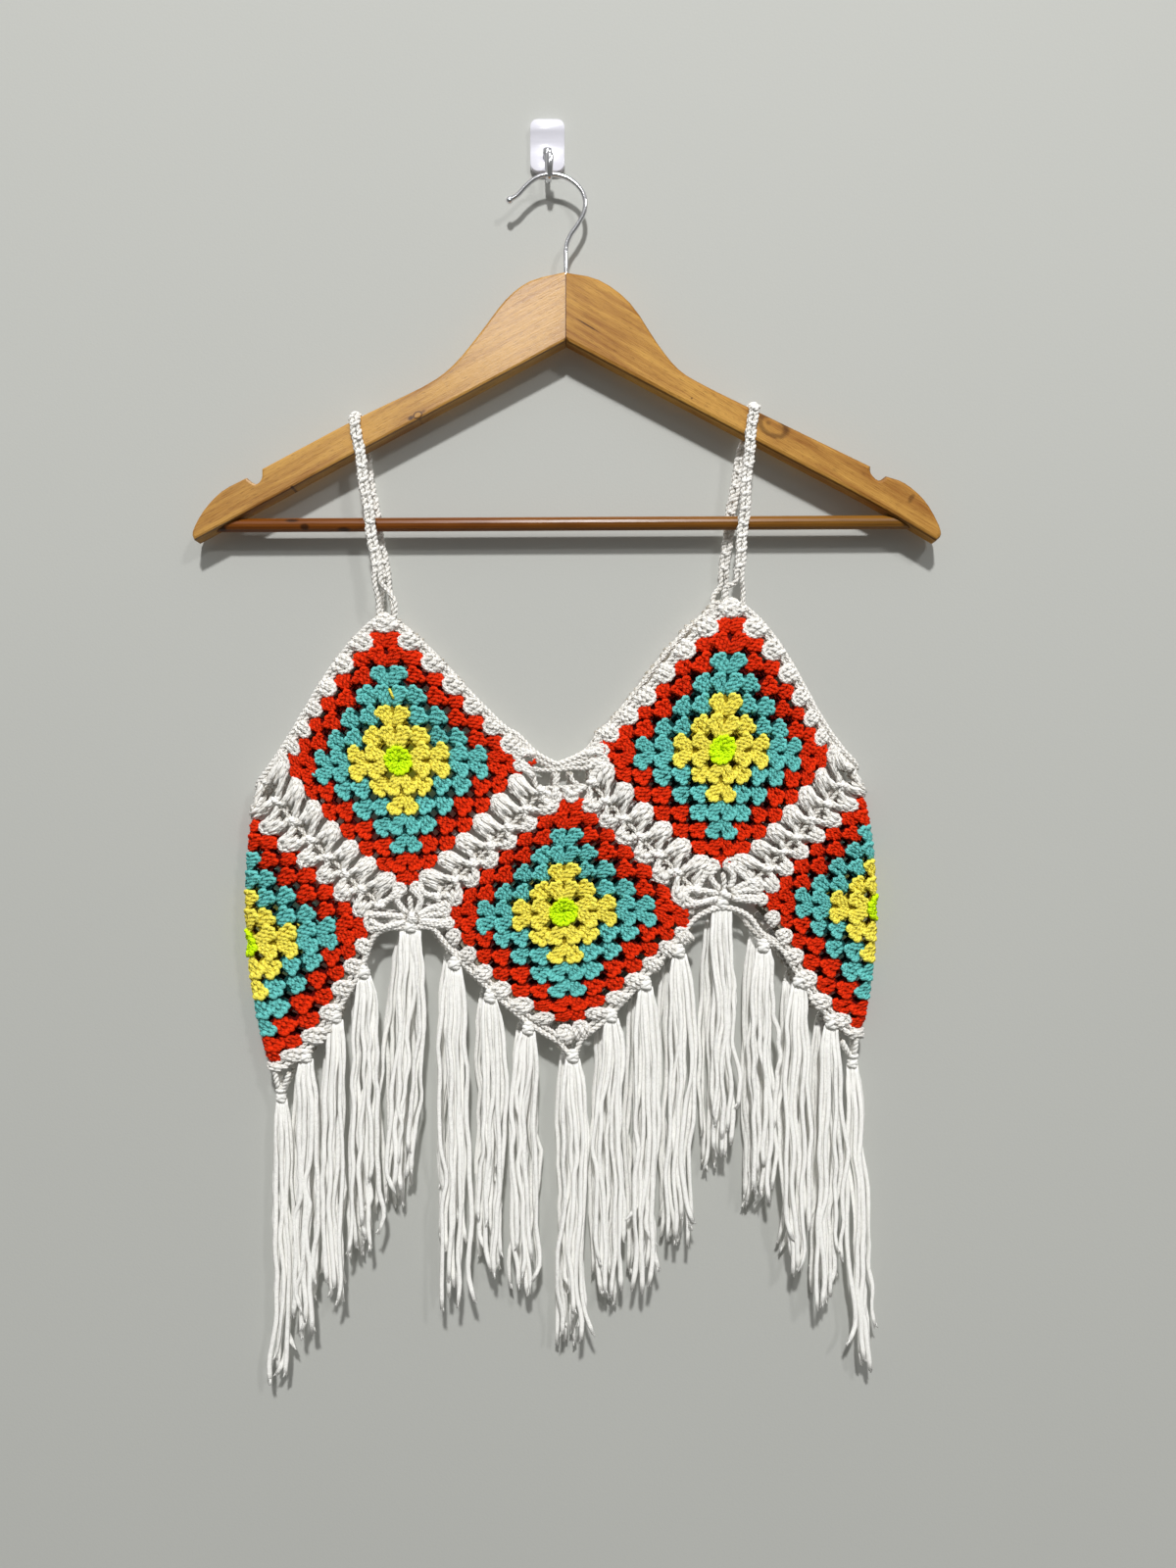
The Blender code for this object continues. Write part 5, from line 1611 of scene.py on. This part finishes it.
def bar_look():
    """Glossy stained wood, redder at the left end and golden at the right, with a few dark spots."""
    look, given = Look("wood_bar"), settings("hanger")
    here = look.places()
    x = look.split(here)[0]
    streak = look.noise(look.mapped(here, (9, 420, 420)), 1.0, 4.0, 0.62)
    fine = look.noise(look.mapped(here, (60, 1500, 1500)), 1.0, 2.0)
    cloud = look.noise(look.mapped(here, (22, 60, 60)), 1.0, 2.0)
    across = ((x + 0.06) * 3.6 + (cloud - 0.5) * 0.5).clamped()
    base = look.mix(across, tuple(given.bar), tuple(given.bar_end))
    light = (streak - 0.5) * 1.5 + (fine - 0.5) * 0.4 + (cloud - 0.5) * 0.5 + 0.95
    base = shaded(look, base, light.clamped())
    burnt = tuple(c * 0.1 for c in given.bar)
    for mark_x, mark_z, half, width in BAR_MARKS:
        mark = look.spot(here, (mark_x * MM, -0.016, mark_z * MM), (half * MM, 0.006, width * MM))
        base = look.mix((mark * 2.2 + (fine - 0.5) * mark * 3.0).clamped() * 0.8, base, burnt)
    normal = look.bump(streak + fine * 0.5, 0.00015, 0.5)
    look.finish(Base_Color=base, Roughness=fine * 0.2 + 0.2, Normal=normal)
    return look.finish(Specular_IOR_Level=0.22, Coat_Weight=0.16, Coat_Roughness=0.18)


def steel_look():
    """Bright plated steel, a little smeared and scratched, made once."""
    if "steel" in bpy.data.materials:
        return bpy.data.materials["steel"]
    look, given = Look("steel"), settings("hanger")
    smear = look.noise(look.places(), 300.0, 2.0)
    scratch = look.noise(look.mapped(look.places(), (2500, 2500, 300)), 1.0, 2.0)
    base = shaded(look, tuple(given.steel), ((smear - 0.5) * 0.2 + 0.97).clamped())
    normal = look.bump(scratch, 0.00003, 0.3)
    return look.finish(Base_Color=base, Roughness=smear * 0.12 + 0.07, Normal=normal, Metallic=1.0)


def plastic_look():
    """Glossy pale plastic with faint clouds in it."""
    look, given = Look("plastic"), settings("hanger")
    here = look.places()
    cloud = look.noise(look.mapped(here, (40, 40, 160)), 1.0, 2.0)
    flow = look.noise(look.mapped(here, (60, 400, 700)), 1.0, 2.0)
    base = shaded(look, tuple(given.plastic), ((cloud - 0.5) * 0.16 + (flow - 0.5) * 0.08 + 0.97).clamped())
    normal = look.bump(flow, 0.0001, 0.25)
    look.finish(Base_Color=base, Roughness=cloud * 0.14 + 0.14, Normal=normal)
    return look.finish(Coat_Weight=0.4, Coat_Roughness=0.08)


def look(name):
    """A yarn's material, made once."""
    if name not in bpy.data.materials:
        yarn_look(name)
    return bpy.data.materials[name]


# Wall hook -------------------------------------


def plain_box(name, middle, size):
    """A box to make a piece from."""
    bpy.ops.object.select_all(action="DESELECT")
    bpy.ops.mesh.primitive_cube_add(size=1.0, location=middle)
    box = bpy.context.object
    box.name, box.scale = name, size
    bpy.ops.object.transform_apply(location=True, rotation=True, scale=True)
    return box


# Where the pad's face steps, as shares of its height from the top, and how far back the face lies, in millimetres,
# at its top and then at each of them.
PAD_STEPS = (0.03, 0.24, 0.27, 0.41, 0.43, 0.6, 0.66, 0.95)
PAD_DEPTHS = (0.5, 0.0, 0.0, 0.6, 0.6, 0.85, 0.85, 0.6, 0.7)


def make_pad():
    """The moulded pad: a rounded plate with a raised ledge at its top and shallow steps below."""
    low, high = (np.array(corner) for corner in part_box("wall_pad"))
    middle, size = (low + high) / 2, high - low
    pad = plain_box("pad", middle, size)
    bpy.ops.object.mode_set(mode="EDIT")
    bpy.ops.mesh.select_mode(type="EDGE")
    choose_edges(pad, lambda a, b: abs(a.x - b.x) + abs(a.z - b.z) < 1e-6)
    bpy.ops.mesh.bevel(offset=0.005, segments=7, affect="EDGES")
    steps = [high[2] - share * size[2] for share in PAD_STEPS]
    for step in steps:
        bpy.ops.mesh.select_all(action="SELECT")
        bpy.ops.mesh.bisect(plane_co=(0, 0, step), plane_no=(0, 0, 1))
    bpy.ops.object.mode_set(mode="OBJECT")
    for point in pad.data.vertices:
        if point.co.y < middle[1]:
            point.co.y += np.interp(-point.co.z, [-high[2], *(-z for z in steps)], PAD_DEPTHS) * MM
    finish_hard(pad, 0.0009, 3)
    pad.data.materials.append(plastic_look())
    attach(pad, "root")
    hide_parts("wall_pad")


# The wire hook's middle line from its ball end to its foot in the wood, as x and z.
HOOK_ROUTE = [(-22.3, -37.4), (-17.4, -34.3), (-12.3, -28.8), (-5.6, -23.8), (2.2, -22.1), (10.0, -23.3), (17.4, -27.6)]
HOOK_ROUTE += [(22.2, -34.6), (22.6, -43.4), (18.6, -51.8), (13.7, -59.0), (11.4, -66.5), (11.4, -76.0), (11.4, -100.7)]
HOOK_Y, HOOK_R, BALL_R = -12.0, 1.4, 2.1


def make_hook(finish):
    """The plated wire: a round bar along its route, with a ball at its free end."""
    line = smooth([(x, HOOK_Y, z) for x, z in HOOK_ROUTE], 90)
    curve = bpy.data.curves.new("hook_wire", "CURVE")
    curve.dimensions, curve.bevel_depth, curve.bevel_resolution, curve.use_fill_caps = "3D", HOOK_R * MM, 6, True
    spline = curve.splines.new("POLY")
    spline.points.add(len(line) - 1)
    for point, place in zip(spline.points, line):
        point.co = (*(place * MM), 1.0)
    wire = new_object("hook_wire", curve)
    take(wire)
    bpy.ops.object.convert(target="MESH")
    x, z = HOOK_ROUTE[0]
    end = (x * MM, HOOK_Y * MM, z * MM)
    bpy.ops.mesh.primitive_uv_sphere_add(segments=24, ring_count=14, radius=BALL_R * MM, location=end)
    bpy.ops.object.transform_apply(location=True, rotation=True, scale=True)
    wire.select_set(True)
    bpy.context.view_layer.objects.active = wire
    bpy.ops.object.join()
    bpy.ops.object.shade_smooth_by_angle(angle=math.radians(60))
    wire.select_set(False)
    wire.data.materials.clear()
    wire.data.materials.append(finish)
    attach(wire, "root")
    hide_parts("hanger_hook")


def make_peg(finish):
    """The plated peg with its edges rounded."""
    peg = new_object("peg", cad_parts["wall_peg"].data.copy())
    take(peg)
    bpy.ops.object.mode_set(mode="EDIT")
    bpy.ops.mesh.select_all(action="SELECT")
    bpy.ops.mesh.remove_doubles(threshold=0.00001)
    bpy.ops.mesh.tris_convert_to_quads()
    bpy.ops.object.mode_set(mode="OBJECT")
    finish_hard(peg, 0.0004, 3)
    peg.data.materials.clear()
    peg.data.materials.append(finish)
    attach(peg, "root")
    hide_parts("wall_peg")


def make_glue_joint():
    """The film of dark glue between the two arms, a little below their faces."""
    low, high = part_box("hanger_left")
    middle = (high[0], (low[1] + high[1]) / 2, -0.1035)
    film = plain_box("glue_joint", middle, (0.0008, high[1] - low[1] - 0.0012, 0.0385))
    finish_hard(film, 0.0002, 2)
    look = Look("glue")
    dust = look.noise(look.places(), 900.0, 2.0)
    look.finish(Base_Color=look.mix(dust, linear(70, 40, 20), linear(120, 76, 40)), Roughness=0.5)
    film.data.materials.append(look.material)
    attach(film, "root")


def choose_edges(piece, test):
    """Select the edges of a piece in edit mode by the places of their two ends."""
    bpy.ops.mesh.select_all(action="DESELECT")
    bpy.ops.object.mode_set(mode="OBJECT")
    points = piece.data.vertices
    for line in piece.data.edges:
        line.select = test(*(points[k].co for k in line.vertices))
    bpy.ops.object.mode_set(mode="EDIT")


def finish_hard(piece, width, segments):
    """Round the sharp edges of a hard piece and shade it smooth."""
    bevel = piece.modifiers.new("round", "BEVEL")
    bevel.width, bevel.segments, bevel.limit_method, bevel.angle_limit = width, segments, "ANGLE", math.radians(35)
    bpy.ops.object.modifier_apply(modifier="round")
    bpy.ops.object.shade_smooth_by_angle(angle=math.radians(40))
    piece.select_set(False)


def repaint(node, finish):
    """Give a CAD node its own finish."""
    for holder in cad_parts[node].material_slots:
        holder.material = finish


# Operators -------------------------------------


class CROCHET_OT_hanger(bpy.types.Operator):
    """Varnish the hanger's arms and bar, and plate its wire hook"""

    bl_idname = "crochet.hanger"
    bl_label = "Hanger"

    def execute(self, context):
        for side in ("left", "right"):
            repaint("hanger_" + side, wood_look(side))
        repaint("hanger_bar", bar_look())
        make_glue_joint()
        make_hook(steel_look())
        return {"FINISHED"}


class CROCHET_OT_wall_hook(bpy.types.Operator):
    """Mould the pad on the wall and plate its peg"""

    bl_idname = "crochet.wall_hook"
    bl_label = "Wall hook"

    def execute(self, context):
        make_pad()
        make_peg(steel_look())
        return {"FINISHED"}


class CROCHET_OT_edging(bpy.types.Operator):
    """Crochet the cords round the neck, the armholes and the hem"""

    bl_idname = "crochet.edging"
    bl_label = "Edging"

    def execute(self, context):
        rng = np.random.default_rng(SEEDS["edging"])
        looks = [look("white")]
        for layer, back in (("front", False), ("back", True)):
            names = ("left_apex", "neck", "right_apex")
            run = (top_line(names, back, TOP_OUTER), top_line(names, back, TOP_INNER), back)
            piece = make_edging("neck_cord_" + layer, [run], rng, looks)
            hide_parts("neck_edging_" + layer)
        for side in ("left", "right"):
            runs = []
            for back in (False, True):
                names = (side + "_arm", side + "_apex") if side == "left" else (side + "_apex", side + "_arm")
                runs.append((top_line(names, back, TOP_OUTER), top_line(names, back, TOP_INNER), back))
            piece = make_edging("armhole_cord_" + side, runs, rng, looks)
            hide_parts("armhole_edging_" + side)
        runs = [(hem_line(back, HEM_OUTER), hem_line(back, HEM_INNER), back) for back in (False, True)]
        piece = make_edging("hem_cord", runs, rng, looks, tip_clusters(rng))
        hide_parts("hem_edging")
        return {"FINISHED"}


class CROCHET_OT_fringe(bpy.types.Operator):
    """Knot the tassels of the hem"""

    bl_idname = "crochet.fringe"
    bl_label = "Fringe"

    def execute(self, context):
        rng = np.random.default_rng(SEEDS["fringe"])
        looks = [look("fringe")]
        for layer, back in (("front", False), ("back", True)):
            skein = Skein()
            nodes = [f"tassel_{layer}_{k:02d}" for k in range(1, len(TASSELS) + 1)]
            line = hem_line(back, 3.5)
            gaps = np.gradient([row[0] for row in TASSELS])
            for (x, z, foot_x, front_end, back_end), gap in zip(TASSELS, gaps):
                end = back_end if back else front_end
                if back:
                    x, foot_x = x + TASSEL_BACK_STEP, foot_x + TASSEL_BACK_STEP
                    z = np.interp(x, line[::-1, 0], line[::-1, 1]) - 3.0
                wide, begin = min(15.6, 0.7 * gap), 12.5 if x in UNDER_FLOWERS else 7.6
                skein.lay(hem_knot(x, z + 1.2, 0.2, rng), back, tint=rng.normal(0, 0.5))
                strands = fringe_strands((x, z - 2.6), (foot_x, end), rng, wide, begin=begin, **FRINGE_ROWS[layer])
                for strand, tint in strands:
                    skein.add(strand, tint=tint)
            if not back:
                for side, (x, z, foot_x, end) in CORNER_TASSELS.items():
                    nodes.append("tassel_corner_" + side)
                    for strand in corner_tie(side, x, z, rng):
                        skein.add(strand)
                    for strand in hem_knot(0, 0, 0, rng):
                        points = strand.points[:, [0, 2, 1]] * (0.85, -0.9, 1) + (x, TUBE_Y, z)
                        skein.add(strand, points)
                    for strand, tint in fringe_strands((x, z - 3.2), (foot_x, end), rng, 10.5, TUBE_Y, 5.5, 8, 33):
                        skein.add(strand, tint=tint)
            piece = skein.mesh("fringe_" + layer, looks)
            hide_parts(*nodes)
        return {"FINISHED"}


class CROCHET_OT_straps(bpy.types.Operator):
    """Crochet the two straps over the hanger"""

    bl_idname = "crochet.straps"
    bl_label = "Straps"

    def execute(self, context):
        rng = np.random.default_rng(SEEDS["straps"])
        for side in ("left", "right"):
            make_strap(side, rng, [look("white")])
        return {"FINISHED"}


class CROCHET_OT_squares(bpy.types.Operator):
    """Crochet the eight granny squares"""

    bl_idname = "crochet.squares"
    bl_label = "Granny squares"

    def execute(self, context):
        squares = make_squares()
        rows = seam_rows(squares)
        looks = [look(name) for name in LOOKS]
        for layer in ("front", "back"):
            make_webs(layer, rows, np.random.default_rng(SEEDS["web_" + layer]), [look("white")])
        for name, square in squares.items():
            web = square_ground(square, looks)
            upright = name.endswith(("left", "right")) and not name.startswith("side")
            stitches = square_stitches(square, rows, upright).mesh("stitches_" + name, looks)
            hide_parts("square_" + name)
        return {"FINISHED"}


CAMERA_AT, LENS = (0.0246, -0.7156, -0.3863), 27.03  # in metres, and in millimetres for a sensor 36 wide
LIT_MIDDLE = (0.02, 0, -0.4)  # where every lamp points
UPRIGHT = (math.pi / 2, 0, 0)


class CROCHET_OT_stage(bpy.types.Operator):
    """Set up the wall, the lights and the camera"""

    bl_idname = "crochet.stage"
    bl_label = "Stage"

    def execute(self, context):
        given = settings("stage")
        bpy.ops.object.select_all(action="DESELECT")
        bpy.ops.mesh.primitive_plane_add(size=6.0, location=(0, 0.0003, -0.4), rotation=UPRIGHT)
        wall = context.object
        wall.name = "wall"
        wall.data.materials.append(self.paint(tuple(given.wall)))
        camera = new_object("camera", bpy.data.cameras.new("camera"))
        camera.location = CAMERA_AT
        camera.rotation_euler = UPRIGHT
        camera.data.sensor_width = 36.0
        camera.data.lens = LENS
        camera.data.clip_start = 0.01
        context.scene.camera = camera
        self.lamp("main", (0.04, -3.2, 2.5), 0.3, given.main_light)
        self.lamp("side", (2.0, -3.2, 1.85), 0.4, given.side_light)
        self.lamp("glare", (-0.26, -3.2, 1.17), 0.3, 12.0).visible_diffuse = False
        self.lamp("behind", (-0.8, 2.6, 1.6), 1.6, 60.0)
        world = bpy.data.worlds.new("room")
        world.use_nodes = True
        self.room(world.node_tree, given.room_light)
        context.scene.world = world
        context.scene.view_settings.view_transform = "Standard"
        return {"FINISHED"}

    @staticmethod
    def paint(colour):
        """Matt paint that can't be seen from behind and lets the light behind the wall through to the cloth."""
        paint = Look("wall_paint")
        here = paint.places()
        mottle = paint.noise(here, 2.4, 3.0)
        fine = paint.noise(here, 700.0, 2.0)
        light = (mottle - 0.5) * 0.05 + (fine - 0.5) * 0.03 + 0.985
        normal = paint.bump(fine, 0.0002, 0.25)
        paint.finish(Base_Color=shaded(paint, colour, light.clamped()), Roughness=0.75, Normal=normal)
        back = paint.node("ShaderNodeNewGeometry", {}, {}, output="Backfacing")
        passing = paint.node("ShaderNodeLightPath", {}, {}, output="Is Shadow Ray")
        clear = paint.node("ShaderNodeBsdfTransparent", {}, {})
        solid = Value(paint, paint.shader.outputs[0])
        both = paint.node("ShaderNodeMixShader", {}, {0: (back + passing).clamped(), 1: solid, 2: clear})
        end = next(node for node in paint.tree.nodes if node.type == "OUTPUT_MATERIAL")
        paint.join(end, {"Surface": both})
        return paint.material

    @staticmethod
    def room(tree, strength):
        """Light from all round: pale above, darker towards the floor."""
        way = tree.nodes.new("ShaderNodeTexCoord")
        parts = tree.nodes.new("ShaderNodeSeparateXYZ")
        ramp = tree.nodes.new("ShaderNodeValToRGB")
        tree.links.new(way.outputs["Generated"], parts.inputs[0])
        tree.links.new(parts.outputs["Z"], ramp.inputs["Fac"])
        ramp.color_ramp.elements[0].color = (0.42, 0.42, 0.40, 1)
        ramp.color_ramp.elements[1].color = (1.0, 1.0, 1.0, 1)
        ramp.color_ramp.elements[1].position = 0.6
        tree.links.new(ramp.outputs["Color"], tree.nodes["Background"].inputs["Color"])
        tree.nodes["Background"].inputs["Strength"].default_value = strength

    @staticmethod
    def lamp(name, place, size, power):
        """A round soft lamp that shines on the middle of the cloth."""
        data = bpy.data.lights.new(name, "AREA")
        data.energy, data.size, data.shape = power, size, "DISK"
        made = new_object(name, data)
        made.location = place
        made.rotation_euler = (Vector(LIT_MIDDLE) - Vector(place)).to_track_quat("-Z", "Y").to_euler()
        return made


class CROCHET_PT_panel(bpy.types.Panel):
    """Every step of the crochet top, with its settings"""

    bl_idname = "CROCHET_PT_panel"
    bl_label = "Crochet top"
    bl_space_type = "VIEW_3D"
    bl_region_type = "UI"
    bl_category = "Crochet top"

    def draw(self, context):
        for group, steps in STEPS.items():
            box = self.layout.box()
            given = settings(group)
            for name in given.__annotations__:
                box.prop(given, name)
            for step in steps:
                box.operator(step.bl_idname)


STEPS = {
    "hanger": [CROCHET_OT_hanger, CROCHET_OT_wall_hook],
    "yarn": [CROCHET_OT_edging, CROCHET_OT_fringe, CROCHET_OT_straps, CROCHET_OT_squares],
    "stage": [CROCHET_OT_stage],
}
GROUPS = {"yarn": YarnSettings, "hanger": HangerSettings, "stage": StageSettings}
CLASSES = [*GROUPS.values(), *(step for steps in STEPS.values() for step in steps), CROCHET_PT_panel]


def register():
    for made in CLASSES:
        bpy.utils.register_class(made)
    for group, made in GROUPS.items():
        setattr(bpy.types.Scene, "crochet_" + group, bpy.props.PointerProperty(type=made))


def unregister():
    for group in GROUPS:
        delattr(bpy.types.Scene, "crochet_" + group)
    for made in reversed(CLASSES):
        bpy.utils.unregister_class(made)


def main():
    register()
    bpy.ops.crochet.hanger()
    bpy.ops.crochet.wall_hook()
    bpy.ops.crochet.edging()
    bpy.ops.crochet.fringe()
    bpy.ops.crochet.straps()
    bpy.ops.crochet.squares()
    bpy.ops.crochet.stage()


if __name__ == "__main__":
    main()
